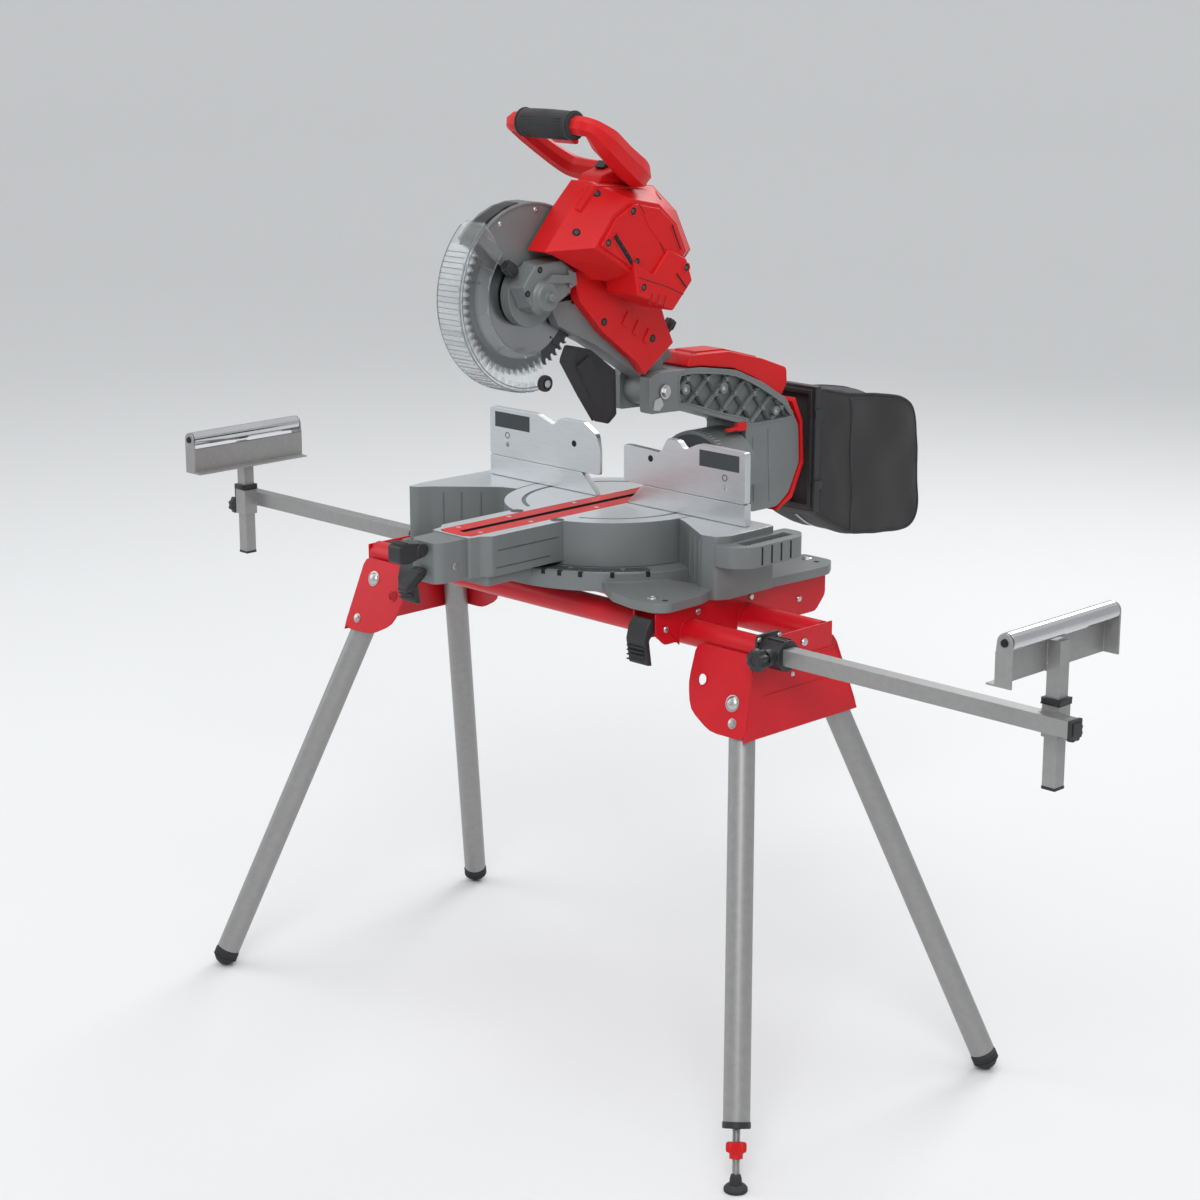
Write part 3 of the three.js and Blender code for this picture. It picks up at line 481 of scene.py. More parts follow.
# %% [markdown]
# ## A small kit for new pieces
# Details such as screws, ribs, teeth and knobs are drawn as lists of points and faces in millimetres.
# A lathe, a slab and a swept bar cover nearly all of them, and joined lists make one piece of many.
# Piling up primitive objects would work too, but point lists are exact, quick, and easy to repeat in a loop.
# %% Lathe, slab and box
def basis(direction, hint=(0, 0, 1)):
    d = Vector(direction).normalized()
    side = Vector(hint).cross(d)
    if side.length < 1e-3:
        side = Vector((1, 0, 0)).cross(d)
    side.normalize()
    return d, side, d.cross(side)

def lathe(profile, start, direction, sides=32, lobes=0, lobe_depth=0.0):
    """Turns (distance, radius) pairs round a line. Lobes scallop the radius, for finger grips."""
    d, u, v = basis(direction)
    start = Vector(start)
    verts, faces = [], []
    for along, radius in profile:
        for i in range(sides):
            t = 2 * math.pi * i / sides
            r = radius - lobe_depth * (0.5 + 0.5 * math.cos(lobes * t)) * min(1,
                                                                              radius / 8) if lobes else radius
            verts.append(start + d * along + u * (r * math.cos(t)) + v * (r * math.sin(t)))
    for ring in range(len(profile) - 1):
        for i in range(sides):
            j, k = (i + 1) % sides, ring * sides
            faces.append((k + i, k + j, k + sides + j, k + sides + i))
    faces.append(tuple(reversed(range(sides))))
    faces.append(tuple(range((len(profile) - 1) * sides, len(profile) * sides)))
    return verts, faces

def slab(points, plane, low, high):
    """An outline across x, y or z, between two places on that axis."""
    turn = {"x": lambda p, h: (h, p[0], p[1]), "y": lambda p, h: (p[0], h, p[1]), "z": lambda p,
            h: (p[0], p[1], h)}[plane]
    n = len(points)
    verts = [turn(p, low) for p in points] + [turn(p, high) for p in points]
    faces = [tuple(reversed(range(n))), tuple(range(n, 2 * n))]
    faces += [(i, (i + 1) % n, n + (i + 1) % n, n + i) for i in range(n)]
    return verts, faces

def box(x0, x1, y0, y1, z0, z1):
    return slab([(x0, y0), (x1, y0), (x1, y1), (x0, y1)], "z", z0, z1)

print("lathe, slab and box ready")

# %% Smooth paths and bars
def smooth_path(points, steps=6):
    """A Catmull-Rom curve through the points."""
    p = [Vector(q) for q in points]
    p = [2 * p[0] - p[1]] + p + [2 * p[-1] - p[-2]]
    out = []
    for i in range(1, len(p) - 2):
        for s in range(steps):
            t = s / steps
            out.append(0.5 * ((2 * p[i]) + (p[i + 1] - p[i - 1]) * t
                       + (2 * p[i - 1] - 5 * p[i] + 4 * p[i + 1] - p[i + 2]) * t * t
                       + (3 * p[i] - p[i - 1] - 3 * p[i + 1] + p[i + 2]) * t ** 3))
    return out + [p[-2]]

def bar(path, radius, sides=12, hint=(0, 0, 1), flat=1.0, closed=False):
    """A round or flattened section carried along a path. The radius may be a list, one for each point."""
    path = [Vector(q) for q in path]
    n = len(path)
    radii = radius if isinstance(radius, list) else [radius] * n
    verts, faces = [], []
    side = None
    for i, q in enumerate(path):
        ahead = path[(i + 1) % n] if closed or i < n - 1 else q
        behind = path[i - 1] if closed or i > 0 else q
        d = (ahead - behind).normalized()
        if side is None:
            side = basis(d, hint)[1]
        side = (side - d * side.dot(d)).normalized()
        up = d.cross(side)
        for k in range(sides):
            t = 2 * math.pi * k / sides
            verts.append(q + side * (radii[i] * math.cos(t)) + up * (radii[i] * flat * math.sin(t)))
    for i in range(n if closed else n - 1):
        for k in range(sides):
            m, j = (k + 1) % sides, (i + 1) % n
            faces.append((i * sides + k, i * sides + m, j * sides + m, j * sides + k))
    if not closed:
        faces.append(tuple(reversed(range(sides))))
        faces.append(tuple(range((n - 1) * sides, n * sides)))
    return verts, faces

print("paths and bars ready")

# %% Joining and turning shapes
def together(*shapes):
    """Several shapes as one list of points and faces."""
    verts, faces = [], []
    for v, f in shapes:
        faces += [tuple(i + len(verts) for i in face) for face in f]
        verts += list(v)
    return verts, faces

def moved(shape, offset):
    return [Vector(v) + Vector(offset) for v in shape[0]], shape[1]

def half_turn(shape):
    """The same shape at the other end of the stand."""
    return [Vector((-v[0], -v[1], v[2])) for v in shape[0]], shape[1]

print("joining and turning ready")

# %% Turning a list of points into a piece
made = []

def piece(name, shape, body, material, origin=TABLE, bevel=0.0, segments=2, angle=30,
          stands_for=()):
    """One shape, or a list of shapes joined, as an object that rides a body."""
    if isinstance(shape, list):
        shape = together(*shape)
    data = bpy.data.meshes.new(name)
    data.from_pydata([((Vector(v) + origin) * MM) for v in shape[0]], [], shape[1])
    mesh = bmesh.new()
    mesh.from_mesh(data)
    bmesh.ops.remove_doubles(mesh, verts=mesh.verts, dist=1e-6)
    bmesh.ops.recalc_face_normals(mesh, faces=mesh.faces)
    mesh.to_mesh(data)
    mesh.free()
    data.polygons.foreach_set("use_smooth", [True] * len(data.polygons))
    data.set_sharp_from_angle(angle=math.radians(angle))
    data.materials.append(material)
    thing = bpy.data.objects.new(name, data)
    bpy.context.collection.objects.link(thing)
    if bevel:
        soft = thing.modifiers.new("soft edges", "BEVEL")
        soft.width = bevel * MM
        soft.segments = segments
        soft.limit_method = "ANGLE"
        soft.angle_limit = math.radians(angle)
        thing.modifiers.new("flat shading", "WEIGHTED_NORMAL").weight = 90
    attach(thing, body)
    if stands_for:
        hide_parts(*stands_for)
    made.append(name)
    return thing

# %% [markdown]
# ## Screws, bolts and lobed knobs
# Fasteners tell the eye how big a machine is, so each kind is drawn once, properly, and placed many times.
# A screw and a bolt are turned profiles. A knob is a turned profile too, with lobes worked into its radius,
# which is how a moulded grip is shaped, and simpler than cutting scallops out of a cylinder.
# %% Fasteners and knobs
def screw(place, direction, radius=5.0, height=2.4, recess=True):
    dome = [(-0.6, radius), (height * 0.35, radius), (height * 0.8, radius * 0.82), (height, radius * 0.5)]
    if recess:
        dome += [(height, radius * 0.42), (height * 0.25, radius * 0.36)]
    else:
        dome += [(height, radius * 0.3)]
    return lathe(dome, place, direction, 20)

def hex_bolt(place, direction, across=13.0, height=5.0, washer=9.0):
    d = Vector(direction).normalized()
    head = lathe([(1.2, across * 0.55), (height - 0.8, across * 0.55), (height, across * 0.47)], place, d, 6)
    ring = lathe([(0, washer), (1.2, washer), (1.3, washer * 0.9)], place, d, 24)
    return together(ring, head)

def screws(name, places, direction, body, radius, height):
    return piece(name, [screw(p, direction, radius, height) for p in places], body, STEEL)

def lobed_knob(name, place, direction, radius, depth, body, origin, stands_for, lobes=8):
    profile = [(0, radius * 0.62), (1, radius * 0.72), (depth * 0.25, radius * 0.80),
               (depth * 0.38, radius * 0.98),
               (depth * 0.55, radius), (depth * 0.86, radius * 0.97), (depth * 0.97, radius * 0.88),
               (depth, radius * 0.74), (depth, radius * 0.50), (depth - 1.2, radius * 0.46),
               (depth - 1.4, radius * 0.1)]
    return piece(name, lathe(profile, place, direction, lobes * 8, lobes, radius * 0.16), body, BLACK_PLASTIC,
                 origin, stands_for=stands_for, angle=40)

# %% [markdown]
# ## The blade
# A carbide blade is a ground plate with tips brazed into gullets, and laser-cut slots that let it grow when
# hot. It is drawn tooth by tooth as one outline, because the gullets are the silhouette that people
# recognise. The tips are separate little blocks a shade wider than the plate, as on a real blade, where
# they set the cut's width.
# %% Polar helper and blade plate
BLADE_Y, BLADE_Z = -196.0, 354.0      # the arbor's axis
BLADE_R = 127.0
TEETH = 60
TOOTH_STEP = 360.0 / TEETH
PLATE_HALF = 0.9
PRINTED_RING = 99.4                   # where the ground face ends and the dark coating starts

def polar(degrees, radius):
    t = math.radians(degrees)
    return BLADE_Y + radius * math.cos(t), BLADE_Z + radius * math.sin(t)

def arc(radius, start, stop, steps):
    return [polar(start + (stop - start) * i / steps, radius) for i in range(steps + 1)]

def ring_sector(inner, outer, start, stop, x0, x1, steps=48):
    """A flat ring piece made of quads, so that it shades cleanly."""
    verts, faces = [], []
    for x in (x0, x1):
        for radius in (inner, outer):
            verts += [(x, y, z) for y, z in arc(radius, start, stop, steps)]
    n = steps + 1
    for i in range(steps):
        faces += [(i, i + 1, n + i + 1, n + i), (2 * n + i, 3 * n + i, 3 * n + i + 1, 2 * n + i + 1),
                  (i, 2 * n + i, 2 * n + i + 1, i + 1), (n + i, n + i + 1, 3 * n + i + 1, 3 * n + i)]
    faces += [(0, n, 3 * n, 2 * n), (n - 1, 3 * n - 1, 4 * n - 1, 2 * n - 1)]
    return verts, faces

def blade_finish():
    """Ground steel: bright and circular-brushed inside the printed ring, dark and matt outside it."""
    material, tree, shader = start_material("blade face", (0.30, 0.305, 0.32), 0.3, 1.0)
    shader.inputs["Anisotropic"].default_value = 0.75
    round_lay = tree.nodes.new("ShaderNodeTangent")
    round_lay.direction_type = "RADIAL"
    round_lay.axis = "X"
    tree.links.new(round_lay.outputs["Tangent"], shader.inputs["Tangent"])
    from_axis = add_node(tree, "ShaderNodeVectorMath", operation="MULTIPLY_ADD")
    tree.links.new(tree.nodes.new("ShaderNodeTexCoord").outputs["Object"], from_axis.inputs[0])
    from_axis.inputs[1].default_value = (0, 1, 1)
    from_axis.inputs[2].default_value = (0, -(BLADE_Y + TABLE.y) * MM, -(BLADE_Z + TABLE.z) * MM)
    length = add_node(tree, "ShaderNodeVectorMath", operation="LENGTH")
    tree.links.new(from_axis.outputs[0], length.inputs[0])
    outside = math_node(tree, "GREATER_THAN", length.outputs["Value"], PRINTED_RING * MM)
    rings = math_node(tree, "FRACT", math_node(tree, "MULTIPLY", length.outputs["Value"], 1400.0), 1.0)
    ground = mix_colour(tree, rings, (0.25, 0.255, 0.265), (0.33, 0.335, 0.345))
    tree.links.new(mix_colour(tree, outside, ground, (0.085, 0.088, 0.094)), shader.inputs["Base Color"])
    tree.links.new(spread(tree, outside, 0.30, 0.52), shader.inputs["Roughness"])
    return material

BLADE_FACE = blade_finish()
print("finish:", BLADE_FACE.name)

# %% Blade plate and carbide tips
def blade_plate():
    teeth = [(9.5, 0.0), (10.6, 0.9), (10.2, 1.8), (7.5, 2.5), (3.0, 3.1), (2.2, 4.4), (2.2, 5.35),
             (9.0, 5.7)]
    edge = [polar(i * TOOTH_STEP + turn, BLADE_R - depth) for i in range(TEETH) for depth, turn in teeth]
    hole = [polar(-360.0 * i / len(edge), 22.0) for i in range(len(edge))]
    n = len(edge)
    faces_x = (-PLATE_HALF, PLATE_HALF)
    verts = [(x, y, z) for x in faces_x for y, z in edge]
    verts += [(x, *hole[-i % n]) for x in faces_x for i in range(n)]
    faces = []
    for i in range(n):
        j = (i + 1) % n
        faces += [(i, j, n + j, n + i), (2 * n + j, 2 * n + i, 3 * n + i, 3 * n + j),
                  (j, i, 2 * n + i, 2 * n + j), (n + i, n + j, 3 * n + j, 3 * n + i)]
    return verts, faces

piece("blade_plate", blade_plate(), "spindle", BLADE_FACE, stands_for=["saw_blade"])
TIP = [(0.0, 5.35), (0.6, 4.55), (6.0, 4.75), (6.0, 5.45)]
TIP_HALF = 1.3
tips = []
for i in range(TEETH):
    corners = [polar(i * TOOTH_STEP + turn, BLADE_R - depth) for depth, turn in TIP]
    tips.append(slab(corners, "x", -TIP_HALF, TIP_HALF))
piece("blade_tips", tips, "spindle", CARBIDE)
print("teeth:", len(tips))

# %% [markdown]
# ### Expansion slots, printed ring and flanges
# The slots are laser cut, a wavy line that ends in a small hole, and they stop the plate buckling when it
# heats. They are laid on as thin dark bars of painted shade, standing for the openings: cutting them through
# would break the clean quads of the plate's face. The flanges and the arbor bolt clamp the plate, so they
# turn with it.
# %% Slots, ring and flanges
slots = []
for start in (20, 92, 164, 236, 308):
    wave = [polar(start + 1.6 * math.sin(s * 1.3), BLADE_R - 9 - s * 3.4) for s in range(8)]
    for x in (-0.95, 0.95):
        slots.append(bar([(x, y, z) for y, z in wave], 0.55, 6))
        slots.append(lathe([(-0.3, 2.0), (0.12, 2.0)], (x, *wave[-1]), (math.copysign(1, x), 0, 0), 14))
piece("blade_slots", slots, "spindle", RECESS_SHADE)
rings = [ring_sector(99.0, 99.8, 0, 360, s - 0.06, s + 0.06, 96) for s in (-0.92, 0.92)]
piece("blade_ring_lines", rings, "spindle", CARBIDE)
FLANGE = [(0, 24), (2.2, 24), (3.4, 21), (3.4, 15), (2.2, 13)]
ARBOR_BOLT = [(0, 9.8), (4.2, 9.8), (5.6, 8.2), (8.8, 8.2), (9.2, 7)]
flanges = [lathe(FLANGE, (s * 1.1, BLADE_Y, BLADE_Z), (s, 0, 0), 40) for s in SIDES]
flanges.append(lathe(ARBOR_BOLT, (-4.5, BLADE_Y, BLADE_Z), (-1, 0, 0), 6))
piece("arbor_flanges", flanges, "spindle", STEEL, bevel=0.3, stands_for=["arbor"])
print("blade slots:", len(slots) // 4)

# %% [markdown]
# ## The guards
# The upper guard is a casting bolted to the head. The lower guard is clear, so that the cut can be seen,
# and it rolls up out of the way on a small wheel as the head comes down. Its rim is ribbed for stiffness;
# the ribs are real blocks, since clear plastic shows its shape only by its edges.
# %% Clear guard
GUARD_START, GUARD_END = 131, 281         # degrees round the arbor, from level and forward
GUARD_RIBS = [150 + i * 6.6 for i in range(19)]
RIB_TURN = 3.2

def guard_band(inner, outer, x0, x1, steps=60):
    return ring_sector(inner, outer, GUARD_START, GUARD_END, x0, x1, steps)

def clear_guard():
    parts = [
        guard_band(147.2, 149.4, -28.8, 20.8, 72),     # rim
        guard_band(90.0, 148.0, 20.2, 21.8),           # near cheek
        guard_band(28.0, 148.0, -30.2, -28.6),         # far cheek, which reaches in to the hub
        guard_band(144.0, 147.4, 16.5, 20.6),          # stiffening lips
        guard_band(89.0, 91.4, 18.9, 20.6),
    ]
    for at in GUARD_RIBS:
        parts.append(ring_sector(149.3, 151.2, at, at + RIB_TURN, -26.0, 19.0, 3))
        parts.append(ring_sector(135.0, 147.6, at, at + RIB_TURN, 19.3, 20.3, 3))
    for at in (152, 190, 228, 262):
        near, far = polar(at, 96), polar(at, 122)
        parts.append(bar([(21.4, *near), (21.4, *far)], 0.7, 6))
        parts.append(lathe([(-0.4, 2.6), (0.2, 2.4), (0.4, 1.0)], (21.7, *near), (1, 0, 0), 14))
    ear = [polar(131.5, 112), polar(136, 148), polar(134, 152.4), polar(129, 152.6), polar(129, 120)]
    parts.append(slab(ear, "x", 20.4, 21.8))
    bridge = [polar(131, 149.2), polar(129, 149.2), polar(129, 152.6), polar(130.4, 152.6)]
    parts.append(slab(bridge, "x", -20, 20.6))
    return together(*parts)

piece("clear_guard_shell", clear_guard(), "clear_guard", CLEAR, stands_for=["lower_guard"])
print("guard ribs:", len(GUARD_RIBS))

# %% Painted edge shade, hub and roller
edges = [bar([(x, y, z) for y, z in arc(r, 131.5, 280.5, 72)], 0.75, 6)
         for x, r in ((21.6, 149.0), (-29.4, 149.0), (21.4, 90.4), (-29.4, 90.4), (21.0, 143.6))]
for rib in GUARD_RIBS:
    for at in (rib, rib + RIB_TURN):
        y, z = polar(at, 151.1)
        edges.append(bar([(-26, y, z), (19, y, z)], 0.55, 5))
piece("clear_guard_edges", edges, "clear_guard", EDGE_SHADE)
hub = lathe([(0, 34), (1.6, 34), (2.6, 30), (2.6, 18), (0.2, 17)], (-30.4, BLADE_Y, BLADE_Z), (-1, 0, 0), 40)
piece("guard_hub", hub, "clear_guard", BLACK_PLASTIC)
wheel_y, wheel_z = polar(278, 140)
tyre = [(-5, 9.5), (-4.2, 12.4), (-2, 13), (2, 13), (4.2, 12.4), (5, 9.5), (4.2, 8.4), (3.2, 7.6), (3.2, 4.2)]
wheel = lathe(tyre, (29, wheel_y, wheel_z), (1, 0, 0), 36)
piece("guard_wheel_tyre", wheel, "guard_wheel", RUBBER, stands_for=["guard_roller"])
axle_cap = [(0, 6.2), (1.6, 6.0), (2.6, 4.6), (2.9, 2.0)]
axle = [bar([(20.6, wheel_y, wheel_z), (34.5, wheel_y, wheel_z)], 3.2, 14),
        lathe(axle_cap, (33.8, wheel_y, wheel_z), (1, 0, 0), 20)]
piece("guard_wheel_axle", axle, "clear_guard", STEEL)
print("guard pieces ready")

# %% [markdown]
# ### Upper guard trim
# The casting over the blade has a rolled lip, and a black bracket at its front that guides the link of the
# clear guard. The lip is a bar bent along the casting's own arc, so that it catches a highlight; the
# bracket is one sawn outline.
# %% Rolled edge, front bracket and bolts
rolled = [bar([(16.2, y, z) for y, z in arc(139.5, -4, 139, 40)], 2.4, 8),
          bar([(16.0, y, z) for y, z in [polar(139.5, r) for r in (139, 110, 80, 56)]], 2.0, 8)]
piece("upper_guard_rolled_edge", rolled, "head", CAST_GREY)
bridge = [(142, 141.2), (128, 141.2), (112, 141.2), (98, 141.2), (97, 143), (108, 145), (124, 146.4),
          (138, 146.4), (144, 144.8), (144, 142)]
cheek = [(141.5, 141), (141.5, 118), (147, 106), (148, 122), (145, 141)]
bracket = [slab([polar(*p) for p in bridge], "x", -14, 12),
           slab([polar(*p) for p in cheek], "x", 13.2, 17.6)]
piece("upper_guard_bracket", bracket, "head", BLACK_PLASTIC, bevel=0.8)
guard_bolts = [screw((16.1, *polar(at, r)), (1, 0, 0), 4.4, 2.2)
               for at, r in ((118, 128), (84, 130), (60, 132))]
piece("upper_guard_screws", guard_bolts, "head", STEEL)
print("upper guard trimmed, screws:", len(guard_bolts))

# %% [markdown]
# ## Placing small parts on moulded faces
# Screws and vents must sit on faces that slope in two directions. Working each place out by hand would be
# slow and fragile, so a ray is cast at the part and the detail is laid on the point and along the normal
# that it finds.
# %% Ray helper
def surface(node, start, direction):
    """The point (mm, from the table) and outward normal where a ray first meets a part."""
    from_point = (Vector(start) + TABLE) * MM
    found, place, normal, _ = NODES[node].ray_cast(from_point, Vector(direction).normalized(), distance=1)
    if not found:
        raise ValueError(f"the ray misses {node} from {start}")
    return place / MM - TABLE, normal

def lay_screws(name, node, spots, direction, body, radius):
    """Screws in pockets on whatever face the ray meets: the pockets are rings of painted shade, and the heads
    are dark with the same painted shade.
    """
    heads, pocket_shades = [], []
    pocket = [(-0.6, radius * 1.25), (0.35, radius * 1.22), (0.45, radius * 1.05)]
    head = [(0.2, radius * 0.62), (0.7, radius * 0.58), (0.8, radius * 0.3), (0.4, radius * 0.26)]
    for spot in spots:
        place, normal = surface(node, spot, direction)
        pocket_shades.append(lathe(pocket, place, normal, 24))
        heads.append(lathe(head, place, normal, 16))
    piece(name + "_pockets", pocket_shades, body, RECESS_SHADE)
    return piece(name, heads, body, DARK_CAST)

print("ray helper ready")

# %% [markdown]
# ## The motor housing, handle and gear case
# The red moulding is two glass-filled nylon shells with flat facets and soft corners, held by deep screws.
# The model's facets are kept and given a wide bevel; then come its screws, cooling slots and parting line.
# The handle is rebuilt as one swept D, thick where the hand pushes and slimmer across the grip.
# %% Housing edges and deep screws
soften("motor_housing", 3.2, 3)
lay_screws("housing_screws", "motor_housing",
           [(200, -160, 452), (200, -112, 507), (200, -58, 300), (200, 52, 262), (200, 88, 396),
            (200, 24, 492)],
           (-1, 0, 0), "head", 5.2)

print("housing softened")

# %% Flank, lower box and crown
# The flank carries a raised plate with a long vent, a box below it for the switch wiring and a parting line.
FLANK_X = 116.5
LOWER_BOX_X = 122
FLANK = [(-140, 432), (-106, 472), (-66, 491), (-12, 480), (26, 450), (45, 409), (8, 371), (-62, 388)]
LOWER_BOX = [(-74, 404), (-30, 380), (4, 416), (44, 398), (58, 362), (14, 318), (-66, 350)]
CROWN = [(-148, 486), (-112, 520), (-30, 513), (26, 500), (20, 484), (-34, 498), (-108, 504), (-140, 474)]
piece("housing_flank", slab(FLANK, "x", 108, FLANK_X), "head", RED_PLASTIC, bevel=3.2, segments=4)
piece("housing_lower_box", slab(LOWER_BOX, "x", 52, LOWER_BOX_X), "head", RED_PLASTIC, bevel=4.0, segments=4)
piece("housing_crown_rib", slab(CROWN, "x", 58, 76), "head", RED_PLASTIC, bevel=3.0, segments=3)
print("housing plates on")

# %% Vents with moulded rims

def long_slot(a, b, half, x, lip=1.5):
    """A vent with a rounded lip: the opening, a dark slab of painted shade, and the red rim round it."""
    a, b = Vector((x, *a)), Vector((x, *b))
    along = (b - a).normalized()
    across = along.cross(Vector((1, 0, 0))) * half
    corners = [a + across, b + across, b - across, a - across]
    opening = slab([(c.y, c.z) for c in corners], "x", x - 1.0, x + 0.25)
    return opening, bar(corners, lip, 8, hint=(1, 0, 0), closed=True)

openings, rims = zip(
    long_slot((-112, 446), (-74, 400), 5.5, FLANK_X),
    long_slot((14, 452), (34, 412), 3.0, FLANK_X),
    long_slot((20, 376), (42, 352), 2.6, LOWER_BOX_X, 1.1))
louvres = []
for k in range(4):
    y, z = -106 + k * 9, 440 - k * 11
    louvres.append(slab([(y, z), (y + 5, z + 3), (y + 7, z), (y + 2, z - 3)], "x", FLANK_X, FLANK_X + 0.8))
small = [long_slot((-34 + k * 15, 350 - k * 3), (-40 + k * 15, 334 - k * 3), 1.7, LOWER_BOX_X, 0.8)
         for k in range(3)]
piece("housing_vents", together(*openings, *(o for o, _ in small)), "head", RECESS_SHADE)
piece("housing_vent_rims", together(*rims, *(r for _, r in small)), "head", RED_PLASTIC)
piece("housing_vent_louvres", louvres, "head", BLACK_PLASTIC)
print("vents:", len(openings) + len(small))

# %% Parting lines, panel and flank screws
seams = [bar([(FLANK_X + 0.1, -58, 489), (FLANK_X + 0.1, -20, 440), (FLANK_X + 0.1, 16, 380)], 0.7, 6),
         bar([(122.1, -64, 378), (122.1, 4, 356), (122.1, 36, 342)], 0.6, 6)]
piece("housing_seams", seams, "head", RECESS_SHADE)
panel = slab([(-52, 476), (-14, 470), (10, 446), (20, 420), (2, 412), (-36, 452)], "x", FLANK_X - 1,
             FLANK_X + 1.2)
piece("housing_panel", panel, "head", RED_PLASTIC, bevel=0.9)
flank_bosses, flank_holes, flank_screws = [], [], []
FLANK_SCREWS = [(FLANK_X, -126, 436), (FLANK_X, -72, 480), (FLANK_X, -64, 402), (FLANK_X, 34, 398),
                (LOWER_BOX_X, 42, 384), (LOWER_BOX_X, -54, 362)]
for place in FLANK_SCREWS:
    flank_bosses.append(lathe([(-1, 8.4), (0.9, 8.2), (1.5, 7.2), (1.2, 6.0), (-0.4, 5.8)], place, (1, 0, 0),
                              28))
    # Painted shade: a dark ring in each boss stands for the shaded hole, and the screw head inside is dark
    # for the same reason.
    flank_holes.append(lathe([(-0.5, 6.2), (0.35, 6.1)], place, (1, 0, 0), 24))
    flank_screws.append(lathe([(0.2, 3.8), (0.7, 3.4), (0.8, 1.8), (0.5, 1.5)], place, (1, 0, 0), 6))
piece("flank_screw_bosses", flank_bosses, "head", RED_PLASTIC)
piece("flank_screw_holes", flank_holes, "head", RECESS_SHADE)
piece("flank_screws", flank_screws, "head", DARK_CAST)

print("flank screws:", len(flank_screws))

# %% Raised ribs over the arm
def panel_on(node, outline, thickness):
    """A thin plate that follows a slanted face of a part, seen from the right."""
    ring = [surface(node, (200, *p), (-1, 0, 0)) for p in outline]
    normal = sum((n for _, n in ring), Vector()).normalized()
    low = [p - normal * 0.6 for p, _ in ring]
    high = [p + normal * thickness for p, _ in ring]
    n = len(ring)
    faces = [tuple(reversed(range(n))), tuple(range(n, 2 * n))]
    faces += [(i, (i + 1) % n, n + (i + 1) % n, n + i) for i in range(n)]
    return low + high, faces

ribs = [panel_on("motor_housing", [(y, z), (y + 9, z - 6), (y - 4, z - 26), (y - 13, z - 20)], 2.2)
        for y, z in ((-6, 312), (18, 296), (42, 280))]
piece("housing_ribs", ribs, "head", RED_PLASTIC, bevel=0.9)
print("housing ribs:", len(ribs))

# %% [markdown]
# ### Handle
# The handle is a closed loop that stands across the machine, with its grip at the front. One path carries
# an eight-sided section round the loop, and the section swells where the loop meets the housing. A bevel
# then rounds the eight edges, which keeps the moulded, faceted look that a plain round tube would lose.
# %% Swept D handle
GRIP_Y, GRIP_Z = -152.0, 610.0

def clamped(value):
    return max(0.0, min(1.0, value))

def d_handle():
    top = [(-64, GRIP_Y + 6, GRIP_Z - 4), (-58, GRIP_Y, GRIP_Z), (-44, GRIP_Y - 1, GRIP_Z + 1),
           (20, GRIP_Y - 1, GRIP_Z + 1),
           (82, GRIP_Y - 1, GRIP_Z + 1), (98, GRIP_Y, GRIP_Z), (105, GRIP_Y + 8, GRIP_Z - 5)]
    right = [(105, GRIP_Y + 8, GRIP_Z - 5), (107, GRIP_Y + 30, GRIP_Z - 22), (103, GRIP_Y + 66, GRIP_Z - 48),
             (96, GRIP_Y + 104, GRIP_Z - 72), (84, GRIP_Y + 122, GRIP_Z - 80),
             (60, GRIP_Y + 118, GRIP_Z - 80),
             (20, GRIP_Y + 114, GRIP_Z - 79), (-24, GRIP_Y + 108, GRIP_Z - 76)]
    left = [(-24, GRIP_Y + 108, GRIP_Z - 76), (-44, GRIP_Y + 96, GRIP_Z - 68),
            (-58, GRIP_Y + 64, GRIP_Z - 45),
            (-66, GRIP_Y + 28, GRIP_Z - 18), (-64, GRIP_Y + 6, GRIP_Z - 4)]
    loop = smooth_path(top + right[1:] + left[1:-1], 5)
    radii = []
    for q in loop:
        to_right = clamped((q.x - 80) / 18)
        behind_grip = clamped((q.y - GRIP_Y - 2) / 26)
        at_back = clamped((q.y - GRIP_Y - 60) / 40)
        thick = 15.5 + 8.0 * to_right * behind_grip
        radii.append(thick + 2.0 * at_back)
    return bar(loop, radii, 8, hint=(0, 1, 1), closed=True)

piece("d_handle", d_handle(), "head", RED_PLASTIC, bevel=4.5, segments=4, angle=25,
      stands_for=["handle"])
neck = slab([(-96, 519), (20, 507), (6, 530), (-14, 541), (-48, 542), (-84, 532)], "x", 14, 62)
piece("handle_neck", neck, "head", RED_PLASTIC, bevel=5.0, segments=4)
print("handle swept")

# %% Rubber sleeve, trigger and safety button
GRIP_RADIUS = 21.2
GRIP_AXIS = (GRIP_Y - 1, GRIP_Z + 1)
sleeve_profile = [(0, 15.6), (0.8, 20.0), (3, GRIP_RADIUS)]
sleeve_profile += [(6 + 6 * k, GRIP_RADIUS + 1.1 * math.sin(k * math.pi / 17)) for k in range(18)]
sleeve_profile += [(111, GRIP_RADIUS), (115, 21.0), (116, 20.0), (117, 15.6)]
piece("grip_sleeve", lathe(sleeve_profile, (-41, *GRIP_AXIS), (1, 0, 0), 40), "head", RUBBER,
      stands_for=["grip"])
bands = [lathe([(0, 21.3), (0.4, 22.6), (2.0, 22.6), (2.4, 21.3)], (x, *GRIP_AXIS), (1, 0, 0), 40)
         for x in (-38, 70)]
piece("grip_bands", bands, "head", BLACK_PLASTIC)
treads = []
for k in range(11):
    t = math.radians(150 + k * 12)
    y, z = GRIP_AXIS[0] + 22.0 * math.cos(t), GRIP_AXIS[1] + 22.0 * math.sin(t)
    treads.append(bar([(-28, y, z), (16, y, z), (60, y, z)], 0.8, 6))
piece("grip_treads", treads, "head", RUBBER)
paddle = slab([(-138.8, 590.2), (-131, 597), (-124, 594), (-118, 585), (-120, 580), (-127, 580), (-136, 586)],
              "x", 1, 47)
piece("trigger_paddle", paddle, "switch", RED_PLASTIC, bevel=2.4, segments=3, stands_for=["trigger"])
